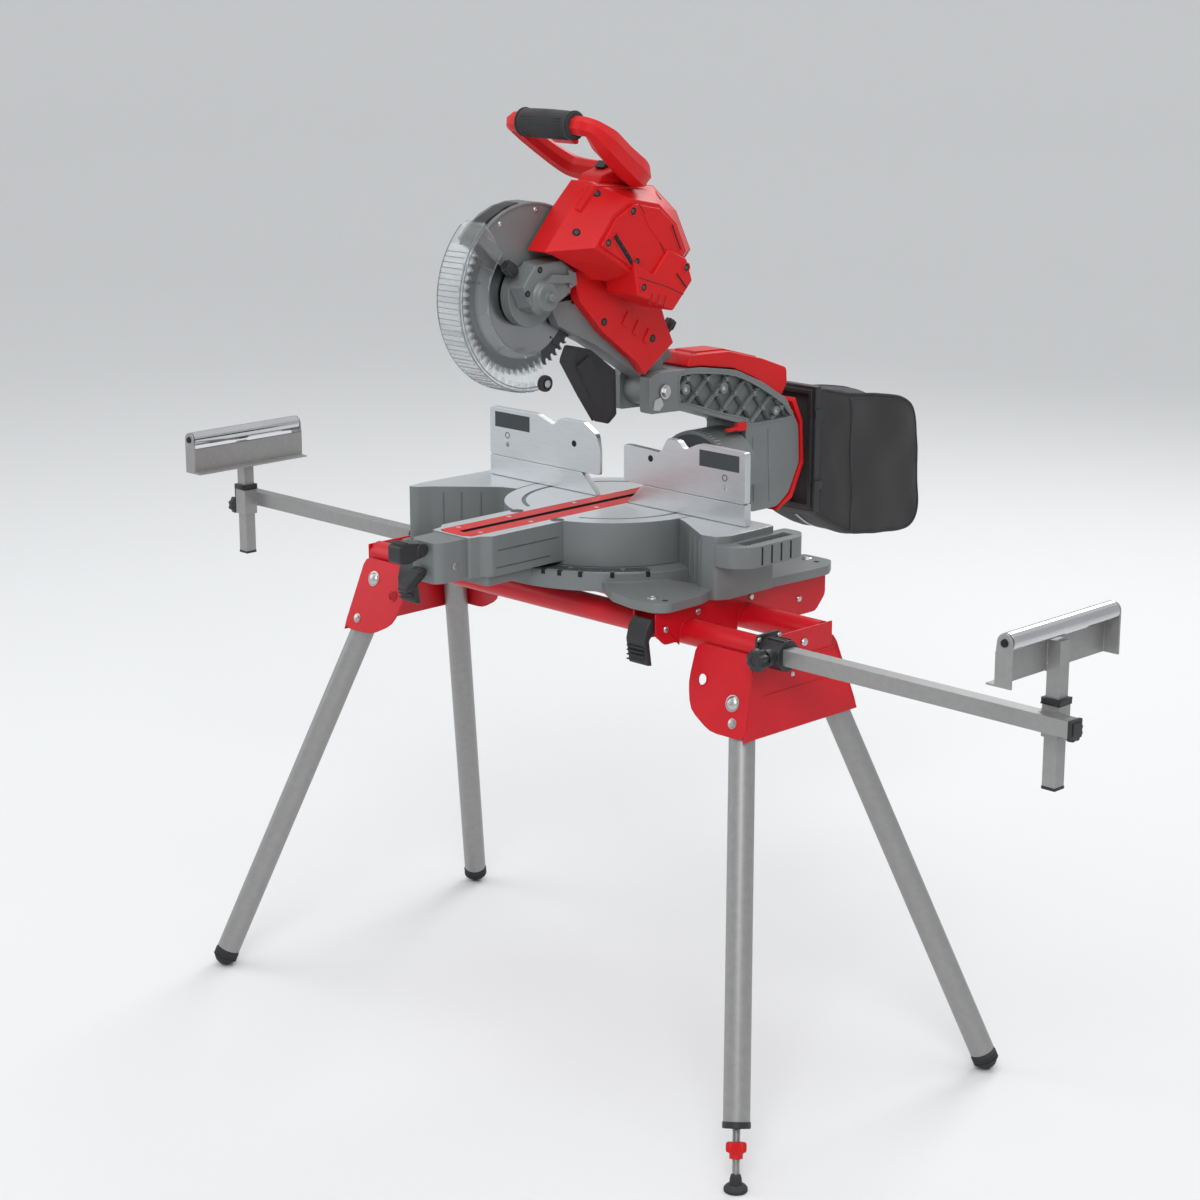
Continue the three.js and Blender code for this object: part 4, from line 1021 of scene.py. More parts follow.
lock = slab([(-66, 541), (-54, 551), (-44, 546), (-52, 536)], "x", 24, 44)
piece("safety_button", lock, "head", BLACK_PLASTIC, bevel=1.6)
print("grip ready, treads:", len(treads))

# %% [markdown]
# ### Gear case, lock knob and depth stop
# The gears sit in a small casting beside the blade, with a round nose over the arbor and an arched rib
# above it. The nose is turned and the rib is a sawn outline, because that is also how a pattern maker would
# build them. Two lobed knobs belong here: one locks the arbor for a blade change, and one is the head of
# the depth screw.
# %% Gear case nose and screws
soften("gear_case", 2.4, 3)
nose = lathe([(-6, 30), (-2, 29), (2, 24), (7, 23), (9, 21), (9, 17), (6, 15.5), (6, 9)],
             (50, BLADE_Y, BLADE_Z), (1, 0, 0), 44)
arch = [slab([(-206, 372), (-184, 388), (-150, 384), (-140, 368), (-152, 372), (-182, 374)], "x", 49, 58),
        slab([(-150, 392), (-134, 386), (-131, 368), (-146, 362)], "x", 48, 55)]
piece("gear_case_boss", together(nose, *arch), "head", CAST_GREY, bevel=1.0, angle=40)
piece("gear_case_bolt", hex_bolt((56, BLADE_Y, BLADE_Z), (1, 0, 0), 12, 6, 8), "head", STEEL, bevel=0.4)
lay_screws("gear_case_screws", "gear_case", [(200, -232, 362), (200, -206, 396), (200, -146, 352)],
           (-1, 0, 0), "head", 4.2)
print("gear case dressed")

# %% Arbor lock knob and depth stop
knob_axis = (0, -0.808736, 0.588171)
lobed_knob("spindle_knob_moulding", (30, -239, 391.3), knob_axis, 11.5, 26, "spindle_knob", TABLE,
           ["spindle_lock_knob"], 10)
stop_axis = Vector((0, 0.650791, 0.759257))
foot = Vector((0, 112, 247))
stem = lathe([(0, 3.8)] + [(1.5 + k * 0.9, 3.2 if k % 2 else 3.9) for k in range(22)], foot, stop_axis, 14)
piece("depth_stop_screw", stem, "depth_stop", STEEL)
lobed_knob("depth_stop_knob", foot + stop_axis * 21, stop_axis, 10.5, 20, "depth_stop", TABLE,
           ["chop_stop_knob"], 8)

print("lock knob and depth stop ready")

# %% [markdown]
# ### Hinge, dust chute and casting ribs
# The head swings on a pin through the arm, so the pin's caps ride the arm and the ribs ride the head.
# The chute is soft rubber: it gets a wide bevel, a flap on its near side and a bead round each edge.
# Ribs on the head casting are real blocks, because a bump in the material would leave its outline flat.
# %% Hinge caps, chute and ribs
pin_caps = [hex_bolt((s * 47.6, 75, 173), (s, 0, 0), 15, 6, 12) for s in SIDES]
piece("hinge_pin_caps", pin_caps, "bevel", STEEL, bevel=0.5)
flap = slab([(-98, 232), (-62, 172), (-44, 150), (-40, 190), (-70, 246)], "x", 17.6, 22)
piece("chute_flap", flap, "head", RUBBER, bevel=1.6, segments=3)
soften("dust_chute", 2.5, 3)
CHUTE_EDGE = [(-100, 236), (-60, 176), (-28, 132), (-8, 144), (-10, 210)]
lips = [bar([(s * 16.2, y, z) for y, z in CHUTE_EDGE], 1.6, 8) for s in SIDES]
piece("chute_beads", lips, "head", RUBBER)
spine_ribs = []
for y, z in ((-34, 262), (-10, 246), (14, 232), (38, 214)):
    spine_ribs.append(slab([(y, z), (y + 5, z + 3), (y + 34, z + 62), (y + 28, z + 62)], "x", -24.6, -21.8))
piece("head_casting_ribs", spine_ribs, "head", CAST_GREY, bevel=0.6)
print("head finished, pieces so far:", len(made))

# %% [markdown]
# ## Table, scale and fences
# The table is milled aluminium with a red throat plate let into it. Around its front runs the mitre scale,
# a dark arc with engraved marks, and notches where the table clicks at common angles.
# Marks are laid on as thin slivers rather than cut, which looks the same and keeps the casting's mesh clean.
# %% Throat plate screws, plugs and painted shade in the groove
plate_screws = [(s * 25, y, -0.1) for s in SIDES for y in (-312, -205, -60, 96)]
screws("throat_plate_screws", plate_screws, (0, 0, 1), "table", 4.2, 0.7)
# Painted shade: dark strips on the walls of the blade's slot, where the light does not reach.
slot_walls = [box(s * 6.1 - 0.5, s * 6.1 + 0.5, -327, 117, -2.9, 0.12) for s in SIDES]
piece("throat_slot_shade", slot_walls, "table", RECESS_SHADE)
print("throat plate screws:", len(plate_screws))

# %% Table plugs, arm lines and handle details
plugs = [lathe([(-1, 11), (0.1, 11), (0.35, 10.2), (0.35, 9.2), (0.15, 8.8)], (s * 46, -168, 0), (0, 0, 1),
               36) for s in SIDES]
piece("table_plugs", plugs, "table", DARK_CAST)
arm_lines = [box(s * 58.2 - 0.25, s * 58.2 + 0.25, -306, -176, -25, -23.4) for s in SIDES]
arm_lines += [box(s * 58.2 - 0.25, s * 58.2 + 0.25, -310, -196, -52, -50.4) for s in SIDES]
piece("table_arm_lines", arm_lines, "table", DARK_CAST)
pins = [lathe([(0, 5.6), (0.8, 5.6), (1.4, 4.6)], (s * 33.4, -372, -42), (s, 0, 0), 24) for s in SIDES]
piece("handle_pivot_pins", pins, "table", STEEL)
ridges = [box(-14.2, 14.2, y, y + 1.6, 2.6 - 0.03 * abs(y + 455), 4.2) for y in (-462, -458, -454, -450)]
piece("mitre_handle_ridges", ridges, "mitre_grip", BLACK_PLASTIC, bevel=0.4)
print("table dressed")

# %% [markdown]
# ### Mitre scale
# The scale is a printed arc let into the base, one mark for each degree, longer at every fifth and tenth.
# Under it the casting has notches for the detent. No numbers are drawn: the marks carry the look, and plain
# slivers of mesh stay sharp in any view, where a bump would blur.
# %% Flat rings on the base
SCALE_START, SCALE_END = -152, -28        # degrees round the table, with the front at -90
FRONT = -90

def round_point(radius, degrees):
    t = math.radians(degrees)
    return radius * math.cos(t), radius * math.sin(t)

def floor_ring(inner, outer, start, stop, z0, z1, steps=60):
    """A flat ring piece that lies level."""
    def circle(radius):
        return [round_point(radius, start + (stop - start) * i / steps) for i in range(steps + 1)]
    verts = [(x, y, z) for z in (z0, z1) for ring in (circle(inner), circle(outer)) for x, y in ring]
    n = steps + 1
    faces = [(0, n, 3 * n, 2 * n), (n - 1, 3 * n - 1, 4 * n - 1, 2 * n - 1)]
    for i in range(steps):
        faces += [(i, i + 1, n + i + 1, n + i), (2 * n + i, 3 * n + i, 3 * n + i + 1, 2 * n + i + 1),
                  (i, 2 * n + i, 2 * n + i + 1, i + 1), (n + i, n + i + 1, 3 * n + i + 1, 3 * n + i)]
    return verts, faces

piece("mitre_scale", floor_ring(184, 210, SCALE_START, SCALE_END, -71.2, -70.3), "saw_base", DARK_CAST)
rim_line = floor_ring(210.2, 211.4, SCALE_START, SCALE_END, -71.0, -70.0)
piece("mitre_scale_rim", rim_line, "saw_base", BRUSHED)
print("scale laid")

# %% Marks, detent notches and pointer
marks = []
for angle in range(-60, 61):
    at = FRONT + angle
    inner = 196 if angle % 10 == 0 else 200 if angle % 5 == 0 else 204
    marks.append(floor_ring(inner, 209, at - 0.13, at + 0.13, -70.4, -70.05, 1))
piece("mitre_scale_marks", marks, "saw_base", BRUSHED)
notches = []
for angle in (-50, -45, -31.6, -22.5, -15, 0, 15, 22.5, 31.6, 45, 60):
    at = FRONT + angle
    if SCALE_START < at < SCALE_END:
        notches.append(floor_ring(211.6, 216.4, at - 0.9, at + 0.9, -78, -69.9, 2))
# Painted shade: the detent notches are near-black blocks, for the shade inside them.
piece("mitre_detents", notches, "saw_base", RECESS_SHADE)
scale_screws = [(*round_point(190, t), -70.4) for t in (-140, -115, -65, -40)]
screws("mitre_scale_screws", scale_screws, (0, 0, 1), "saw_base", 4.0, 0.4)
pointer = slab([(-3, -186), (3, -186), (0, -197)], "z", -69.9, -69.0)
piece("mitre_pointer", pointer, "table", RED_PLASTIC)
print("scale marks:", len(marks))

# %% [markdown]
# ### Base casting
# The base has grooved grips in its wings, crossed webs behind them and a bolt through each foot. Slivers
# of painted shadow stand for the grooves, which are narrow enough to show only as shadow, and the webs and
# ribs are solid bars.
# %% Grip grooves, webs and foot bolts
grooves = [box(s * 356.2 - 0.35, s * 356.2 + 0.35, y, y + 3, -43, -15) for s in SIDES
           for y in (-34, -12, 10, 32)]
piece("base_grip_grooves", grooves, "saw_base", RECESS_SHADE)
webs = []
for s in SIDES:
    x = s * 318.5
    for y0, y1 in ((-44, -20), (-20, 4), (4, 28), (28, 52)):
        webs.append(bar([(x, y0, -44), (x, y1, -18)], 1.4, 6))
        webs.append(bar([(x, y1, -44), (x, y0, -18)], 1.4, 6))
piece("base_lattice", webs, "saw_base", DARK_CAST)
foot_bolts = [screw((sx * 265, sy * 180, -85), (0, 0, 1), 8.5, 2.8) for sx in SIDES for sy in SIDES]
piece("foot_bolts", foot_bolts, "saw_base", STEEL, bevel=0.5)
# Painted shade: dark discs stand for the shaded spare holes.
holes = [lathe([(-0.5, 5.2), (0.15, 5.2)], (sx * 288, sy * 176, -85), (0, 0, 1), 6) for sx in SIDES
         for sy in SIDES]
piece("foot_spare_holes", holes, "saw_base", RECESS_SHADE)
front_ribs = []
for x0, y0 in ((222, -50.4), (246, -65.1), (268, -78.6)):
    front_ribs.append(box(x0, x0 + 3, y0 - 2.2, y0 + 4, -80, -10))
for x0, y0 in ((-222, -83.6), (-246, -105.5), (-268, -125.7)):
    front_ribs.append(box(x0 - 3, x0, y0 - 2.2, y0 + 5, -80, -10))
piece("base_front_ribs", front_ribs, "saw_base", CAST_GREY, bevel=0.8)
print("base dressed, webs:", len(webs))

# %% [markdown]
# ### Fences
# The fences are extruded aluminium: a low fixed pair, and a tall sliding pair that clears the tilted head.
# The model has their outlines. What is missing is the dark grip inlay, painted shade inside the two holes,
# and behind each fence the knob that clamps it and the steel plate that keeps it upright.
# %% Inlays, painted shade in the holes, clamps and keepers
def dress_fence(side, s):
    fence = f"sliding_fence_{side}"
    low_x, high_x = sorted((s * 193, s * 277))
    inlay = slab([(low_x, 84), (high_x, 84), (high_x, 110), (low_x, 110)], "y", -0.35, 1.0)
    piece(f"fence_inlay_{side}", inlay, fence, DARK_CAST, bevel=0.25)
    # Painted shade: a dark lining inside each hole.
    rim = [(0, 5.4), (0.25, 5.4), (0.3, 4.2), (-2, 4.1)]
    rings = [lathe(rim, (s * x, 0.05, z), (0, -1, 0), 24) for x, z in ((87, 80), (247, 72))]
    piece(f"fence_hole_shade_{side}", rings, fence, RECESS_SHADE)
    knob = [(0, 8), (2, 8), (3, 11), (14, 11), (15.5, 9.5), (15.5, 4), (13, 3.5)]
    clamp = lathe(knob, (s * 262, 14.4, 17), (0, 1, 0), 32, 6, 2.2)
    piece(f"fence_clamp_{side}", clamp, "saw_base", BLACK_PLASTIC)
    keeper = [box(s * 150 - 22, s * 150 + 22, 14.0, 17.5, 4, 32)]
    keeper += [screw((s * x, 17.4, 18), (0, 1, 0), 4.4) for x in (138, 162)]
    piece(f"fence_keeper_{side}", keeper, "saw_base", STEEL, bevel=0.5)

dress_fence("left", -1)
dress_fence("right", 1)
print("fences dressed, pieces so far:", len(made))

# %% [markdown]
# ## Bevel arm
# The arm that carries the head is a die casting, hollowed on both sides and stiffened by a diamond lattice
# with a boss where ribs meet. The lattice is computed: two families of parallel lines are clipped to the
# pocket's outline. Drawing each rib by hand would be slower and would miss the pocket's edge.
# %% Lattice clipped to an outline
POCKET = [(112, 148), (112, 194), (166, 193), (246, 179), (308, 152), (364, 119), (390, 92), (286, 92),
          (280, 101), (213, 120),
          (136, 145)]

def clip(outline, point, direction):
    """The stretches of a line that lie inside an outline."""
    hits = []
    for (ay, az), (by, bz) in zip(outline, outline[1:] + outline[:1]):
        ey, ez = by - ay, bz - az
        cross = direction[0] * ez - direction[1] * ey
        if abs(cross) > 1e-9:
            along = ((ay - point[0]) * ez - (az - point[1]) * ey) / cross
            across = ((ay - point[0]) * direction[1] - (az - point[1]) * direction[0]) / cross
            if 0 <= across < 1:
                hits.append(along)
    hits.sort()
    return list(zip(hits[::2], hits[1::2]))

PITCH = 34.0
LATTICE_MIDDLE = (250, 148)
LEANS = (38, -52)
POCKET_FLOOR = 38.0
lattice = []
for lean in LEANS:
    d = (math.cos(math.radians(lean)), math.sin(math.radians(lean)))
    across = (-d[1], d[0])
    for k in range(-14, 15):
        point = (LATTICE_MIDDLE[0] + across[0] * PITCH * k, LATTICE_MIDDLE[1] + across[1] * PITCH * k)
        for start, stop in clip(POCKET, point, d):
            for s in SIDES:
                ends = [(s * POCKET_FLOOR, point[0] + d[0] * t, point[1] + d[1] * t) for t in (start, stop)]
                lattice.append(bar(ends, 2.0, 4, hint=(1, 0, 0), flat=3.0))
piece("bevel_arm_lattice", lattice, "bevel", CAST_GREY)
print("lattice bars:", len(lattice))

# %% Bosses where ribs meet
def inside(outline, y, z):
    """Whether a point lies inside an outline: a ray from it crosses the outline an odd number of times."""
    crossings = 0
    for (ay, az), (by, bz) in zip(outline, outline[1:] + outline[:1]):
        if (az > z) != (bz > z) and y < (by - ay) * (z - az) / (bz - az) + ay:
            crossings += 1
    return crossings % 2 == 1

lean_a, lean_b = (math.radians(lean) for lean in LEANS)
stud = [(-9, 4.2), (-0.4, 4.2), (0.6, 3.4), (0.6, 1.6), (-0.4, 1.4)]
bosses = []
for k in range(-8, 9):
    for m in range(-8, 9):
        y = LATTICE_MIDDLE[0] - math.sin(lean_a) * PITCH * k - math.sin(lean_b) * PITCH * m
        z = LATTICE_MIDDLE[1] + math.cos(lean_a) * PITCH * k + math.cos(lean_b) * PITCH * m
        if inside(POCKET, y, z):
            bosses += [lathe(stud, (s * 44, y, z), (s, 0, 0), 16) for s in SIDES]
BOLT_BOSSES = [(128, 170, 9.0, 4.6), (220, 161, 9.5, 4.8), (352, 106, 8.0, 4.2)]
for y, z, r, _ in BOLT_BOSSES:
    ring = [(-11, r), (1.0, r), (1.6, r - 1), (1.6, r * 0.55), (-1.5, r * 0.5)]
    bosses += [lathe(ring, (s * 43, y, z), (s, 0, 0), 28) for s in SIDES]
piece("bevel_arm_bosses", bosses, "bevel", CAST_GREY)
sockets = [lathe([(-0.5, r), (1.2, r), (1.4, r * 0.6), (0.2, r * 0.55)], (s * 42.4, y, z), (s, 0, 0), 6)
           for y, z, _, r in BOLT_BOSSES for s in SIDES]
piece("bevel_arm_sockets", sockets, "bevel", STEEL)
print("bosses:", len(bosses))

# %% Pocket rims, creases and clips
rims = [bar(smooth_path([(s * 45.2, y, z) for y, z in POCKET + POCKET[:1]], 3), 1.5, 8) for s in SIDES]
piece("bevel_arm_rims", rims, "bevel", CAST_GREY)
lower = [bar([(s * 45.1, 292, 70), (s * 45.1, 296, -44)], 1.3, 8) for s in SIDES]
lower += [bar([(s * 45.1, 330, 78), (s * 45.1, 336, -50)], 1.3, 8) for s in SIDES]
piece("bevel_arm_creases", lower, "bevel", CAST_GREY)
CLIP = [(48, 146), (62, 143), (72, 152), (66, 166), (52, 162)]
clips = [slab(CLIP, "x", s * 45.4 - 1.6, s * 45.4 + 1.6) for s in SIDES]
piece("bevel_arm_clips", clips, "bevel", STEEL, bevel=0.6)
print("arm finished, pieces so far:", len(made))

# %% [markdown]
# ### Duct cover, bevel scale and lock
# Dust travels inside the arm under a red cover. At the arm's foot a drum turns against the carriage,
# with a scale on the carriage and a red pointer on the arm: each must ride the body that it is fixed to,
# or the pointer would stop pointing when the head tilts. A long lever at the back locks the tilt.
# %% Duct cover
soften("duct_cover", 2.8, 3)
soften("rear_plate", 1.2)
raised = slab([(168, 222.6), (240, 219.2), (318, 198.4), (326, 199.6), (240, 222.6), (170, 226.0)], "x", -22,
              22)
piece("duct_cover_panel", raised, "bevel", RED_PLASTIC, bevel=1.4)
lay_screws("duct_cover_screws", "duct_cover", [(s * 30, y, 400) for s in SIDES for y in (160, 300)],
           (0, 0, -1), "bevel", 4.2)
print("duct cover dressed")

# %% Bevel scale, pointer and lock lever
DRUM_RADIUS = 85.7
drum_band = []
for i in range(-8, 9):
    x, z = round_point(DRUM_RADIUS, 90 + i * 5)
    length = 14 if i % 3 == 0 else 9
    drum_band.append(bar([(x, 198, z), (x, 198 + length, z)], 0.7, 6))
piece("bevel_scale_marks", drum_band, "slide", BRUSHED)
face_arc = [round_point(80, t) for t in range(10, 171, 8)] + [round_point(58, t) for t in range(170, 9, -8)]
piece("bevel_scale_plate", slab(face_arc, "y", 194.9, 196.2), "slide", DARK_CAST)
pointer_arm = [slab([(40, 84), (47.5, 84), (47.5, 98), (40, 98)], "y", 250, 273.5),
               slab([(41, 86), (47, 86), (47, 92), (41, 92)], "y", 226, 251)]
piece("bevel_pointer", pointer_arm, "bevel", RED_PLASTIC, bevel=0.8)
lock = [lathe([(0, 9), (30, 9), (31, 12), (36, 12)], (-45, 340, -20), (-1, 0, 0), 24),
        slab([(334, -30), (348, -30), (352, 18), (346, 56), (338, 56), (332, 18)], "x", -92, -80)]
piece("bevel_lock_lever", lock, "bevel", BLACK_PLASTIC, bevel=1.5)
print("saw body dressed, pieces so far:", len(made))

# %% [markdown]
# ## Dust bag
# The bag is coated woven cloth sewn from two side panels and one long strip, closed by a zip underneath and
# hung on a plastic collar. Cloth simulation is used for the bulge between the seams: the bag starts a
# little small, is filled with light pressure while its seams hold, and then the swelling is limited so that
# it keeps its place. Piping, stitches and the zip come afterwards, laid on the finished surface.
# %% Bag body
BAG = [(441, 138), (520, 118), (600, 109), (672, 95), (703, 78), (716, 48), (722, -20), (727, -120),
       (722, -142), (698, -153),
       (620, -148), (533, -136), (470, -104), (438, -82)]
BAG_HALF = 60

COLLAR_Y = 441

def bag_mesh():
    """The bag's outline as a slab, ready to be remeshed."""
    shape = slab(BAG, "x", -BAG_HALF, BAG_HALF)
    data = bpy.data.meshes.new("dust_bag_body")
    data.from_pydata([((Vector(v) + TABLE) * MM) for v in shape[0]], [], shape[1])
    work = bmesh.new()
    work.from_mesh(data)
    bmesh.ops.recalc_face_normals(work, faces=work.faces)
    work.to_mesh(data)
    work.free()
    return data

def run_modifiers(thing):
    """Bakes a thing's modifiers into its mesh."""
    graph = bpy.context.evaluated_depsgraph_get()
    baked = bpy.data.meshes.new_from_object(thing.evaluated_get(graph))
    thing.modifiers.clear()
    thing.data = baked

bag = bpy.data.objects.new("dust_bag_body", bag_mesh())
bpy.context.collection.objects.link(bag)
remesh = bag.modifiers.new("even cloth", "REMESH")
remesh.mode = "VOXEL"
remesh.voxel_size = 0.006
ease = bag.modifiers.new("round the steps", "SMOOTH")
ease.factor = 0.5
ease.iterations = 6
run_modifiers(bag)
start_points = np.array([v.co for v in bag.data.vertices])
print("bag points:", len(start_points))

# %% Hold the seams and the mouth
edge_lines = [(Vector((s * BAG_HALF, *p)) + TABLE) * MM for s in SIDES for p in BAG]

def seam_distance(points):
    """How far each point is from the two side seams, in metres."""
    best = np.full(len(points), 9.0)
    n = len(BAG)
    for block in (0, n):
        for i in range(n):
            p = np.array(edge_lines[block + i])
            q = np.array(edge_lines[block + (i + 1) % n])
            d = q - p
            t = np.clip(((points - p) @ d) / (d @ d), 0, 1)
            best = np.minimum(best, np.linalg.norm(points - (p + t[:, None] * d), axis=1))
    return best

near_seam = seam_distance(start_points)
collar_y = (COLLAR_Y + TABLE.y) * MM
group = bag.vertex_groups.new(name="held")
for i, (distance, point) in enumerate(zip(near_seam, start_points)):
    hold = max(0.0, 1 - distance / 0.012) if point[1] > collar_y + 0.02 else 1.0
    if hold > 0:
        group.add([i], float(hold), "REPLACE")
print("points near a seam:", int((near_seam < 0.012).sum()))

# %% Fill the bag
def fill_bag():
    cloth = bag.modifiers.new("cloth", "CLOTH")
    settings = cloth.settings
    settings.quality = 4
    settings.mass = 0.25
    settings.tension_stiffness = settings.compression_stiffness = 22
    settings.bending_stiffness = 3.5
    settings.use_pressure = True
    settings.uniform_pressure_force = 3.2
    settings.effector_weights.gravity = 0.35
    settings.vertex_group_mass = "held"
    settings.pin_stiffness = 0.8
    scene = bpy.context.scene
    for number in range(1, 19):
        scene.frame_set(number)
    run_modifiers(bag)
    scene.frame_set(1)

fill_bag()
print("bag filled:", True)

# %% Limit the swelling, then crease the cloth
swollen = np.array([v.co for v in bag.data.vertices])
travel = swollen - start_points
length = np.linalg.norm(travel, axis=1, keepdims=True)
MOST_TRAVEL = 0.013
travel *= np.minimum(1.0, MOST_TRAVEL / np.maximum(length, 1e-9))
rng = np.random.default_rng(7)
phases = rng.uniform(0, 6.28, 6)
x, y, z = start_points.T * 1000
WAVES_Y = (0.021, 0.034, -0.027, 0.012, 0.05, -0.018)
WAVES_Z = (0.033, -0.019, 0.041, 0.06, 0.024, -0.05)
WAVES_X = (0.02, 0.03, -0.02, 0.04, 0.01, 0.05)
creases = sum(np.sin(a * y + b * z + c * x + p) for a, b, c, p in zip(WAVES_Y, WAVES_Z, WAVES_X, phases))
calm = np.clip(near_seam / 0.03, 0, 1) * np.clip((start_points[:, 1] - collar_y) / 0.05, 0, 1)
normals = np.array([v.normal for v in bag.data.vertices])
beside_seam = np.clip(1 - np.abs(near_seam - 0.022) / 0.03, 0, 1)
folds = np.sin(0.055 * (z + 0.45 * y) + 1.6 * np.sin(0.018 * y)) * beside_seam
final = start_points + travel + normals * ((creases * 0.0012 + folds * 0.0016) * calm)[:, None]
bag.data.vertices.foreach_set("co", final.astype(np.float32).ravel())
bag.data.polygons.foreach_set("use_smooth", [True] * len(bag.data.polygons))
bag.data.materials.clear()
bag.data.materials.append(CLOTH)
settle = bag.modifiers.new("settle", "SMOOTH")
settle.factor = 0.5
settle.iterations = 3
run_modifiers(bag)
smooth = bag.modifiers.new("finer cloth", "SUBSURF")
smooth.levels = smooth.render_levels = 1
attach(bag, "bevel")
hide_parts("dust_bag")
print("bag swelled by up to", round(float(np.linalg.norm(travel, axis=1).max()) * 1000, 1), "mm")

# %% [markdown]
# ### Piping, seams, stitches and zip
# Everything sewn to the bag has to lie on the swollen cloth, wherever the simulation left it. So each line
# is first drawn on the flat outline and then every point is moved to the nearest place on the bag. The
# piping's path is evened out afterwards, because real piping is too stiff to follow each small crease.
# %% Lines that follow the cloth
bag_tree = BVHTree.FromPolygons([v.co for v in bag.data.vertices],
                                [tuple(p.vertices) for p in bag.data.polygons])

def on_bag(point, lift=0.4):
    """The nearest point of the bag's surface (mm), lifted off it a little."""
    place, normal, _, _ = bag_tree.find_nearest((Vector(point) + TABLE) * MM)
    return place / MM - TABLE + normal * lift

def eased(points, times):
    """A closed line with its kinks evened out."""
    for _ in range(times):
        points = [(points[i - 1] + p * 2 + points[(i + 1) % len(points)]) / 4 for i, p in enumerate(points)]
    return points

def even(points, step):
    """The same line with points a set distance apart."""
    out = []
    for p, q in zip(points, points[1:]):
        p, q = Vector(p), Vector(q)
        count = max(1, round((q - p).length / step))
        out += [p.lerp(q, i / count) for i in range(count)]
    return out + [Vector(points[-1])]

print("bag surface ready, faces:", len(bag.data.polygons))

# %% Piping and seams
piping = []
for s in SIDES:
    loop = even([(s * BAG_HALF, *p) for p in BAG] + [(s * BAG_HALF, *BAG[0])], 6)[:-1]
    piping.append(bar(eased([on_bag(p, 0.7) for p in loop], 8), 2.4, 8, closed=True))
piece("bag_piping", piping, "bevel", CLOTH)
mid = even([(-BAG_HALF - 12, 524, 112), (-BAG_HALF - 12, 533, -132)], 8)
seams = [bar([on_bag((s * 75, p.y, p.z), 0.5) for p in mid], 1.5, 8) for s in SIDES]
over = even([(-56, 522, 130), (56, 522, 130)], 8)
seams.append(bar([on_bag(p, 0.5) for p in over], 1.5, 8))
piece("bag_mid_seams", seams, "bevel", CLOTH)
print("seams:", len(seams))

# %% Stitches and zip
stitches = []
for s in SIDES:
    hem = [Vector((s * BAG_HALF, *p)) for p in BAG[1:7]]
    for line, shift in ((mid, Vector((0, 5, 0))), (hem, Vector((0, 0, -7)))):
        marks_along = even(line, 5)
        for p, q in zip(marks_along, marks_along[1:]):
            ends = [Vector((s * 75, *r.yz)) + shift for r in (p, p.lerp(q, 0.6))]
            stitches.append(bar([on_bag(end, 0.35) for end in ends], 0.45, 5))
piece("bag_stitches", stitches, "bevel", DARK_CAST)
zip_line = even([(0, 452, -110), (0, 533, -150), (0, 620, -160), (0, 700, -165)], 10)
tape = bar([on_bag(p, 0.3) for p in zip_line], 9, 8, hint=(0, 0, 1), flat=0.09)
piece("bag_zip_tape", tape, "bevel", CLOTH)
teeth = [lathe([(-0.5, 1.6), (1.0, 1.2)], on_bag(Vector(p) + Vector((w, 0, 0)), 0.5), (0, 0, -1), 6)
         for p in even(zip_line, 3.2) for w in (-1.6, 1.6)]
piece("bag_zip_teeth", teeth, "bevel", STEEL)
print("stitches:", len(stitches), "zip teeth:", len(teeth))

# %% [markdown]
# ### Collar
# The bag's mouth is sewn to a stiff plastic frame that clips over the duct at the rear of the arm.
# The frame is two square rings made as open tubes of quads, so that the dust can really pass through them.
# %% Collar and its tabs
def frame_ring(half, low_z, high_z, y0, y1, wall):
    """A square ring across y."""
    def corners(inset):
        left, right = -half + inset, half - inset
        low, high = low_z + inset, high_z - inset
        return [(left, low), (right, low), (right, high), (left, high)]
    verts = [(x, y, z) for y in (y0, y1) for ring in (corners(0), corners(wall)) for x, z in ring]
    faces = []
    for i in range(4):
        j = (i + 1) % 4
        faces += [(i, j, 4 + j, 4 + i), (8 + i, 12 + i, 12 + j, 8 + j),
                  (i, 8 + i, 8 + j, j), (4 + i, 4 + j, 12 + j, 12 + i)]
    return verts, faces

collar = [frame_ring(66, -80, 140, 428, 443, 10), frame_ring(60, -74, 134, 424, 430, 8)]
piece("bag_collar", collar, "bevel", BLACK_PLASTIC, bevel=1.6, segments=3)
tabs = [box(s * 67 - 2, s * 67 + 2, 426, 448, z, z + 16) for s in SIDES for z in (-40, 84)]
piece("bag_collar_tabs", tabs, "bevel", BLACK_PLASTIC, bevel=0.8)
print("bag ready, pieces so far:", len(made))

# %% [markdown]
# ## The stand
# Two round rails carry everything. At each end a folded sheet bracket holds two legs, and a plastic cap
# guides a square arm that slides out of one rail and ends in a chrome roller. The two ends are the same
# part turned half round, so details are drawn once for the right end and turned for the left.
# %% [markdown]
# ### Legs
# Each leg leans outwards two ways and folds on a bolt through the bracket's skirt, so every detail needs
# its slanted axis. One function gives a point on any leg's axis at a given height; bolts, collars and feet
# are all placed from it.
# %% The legs' axes
SLOPE = 0.3225
SKIRT_TOP_Y, SKIRT_TOP_Z = 89.3, 735.0
LEG_RADIUS = 20.0
LEAN = math.atan(SLOPE)
PIVOT_HEIGHTS = {"left": 697.0, "right": 656.0}
HOLE_RADIUS = 9.2

def leg_point(side, row, z):
    """A point on a leg's axis, in millimetres."""
    sx, sy = (1 if side == "right" else -1), (1 if row == "back" else -1)
    y = SKIRT_TOP_Y + (SKIRT_TOP_Z - z) * SLOPE - (LEG_RADIUS + 0.3) * math.hypot(1, SLOPE)
    return Vector((sx * (417 + (684 - z) * 0.2877), sy * y, z))

print("a front foot stands at", [round(v) for v in leg_point("right", "front", 20)])

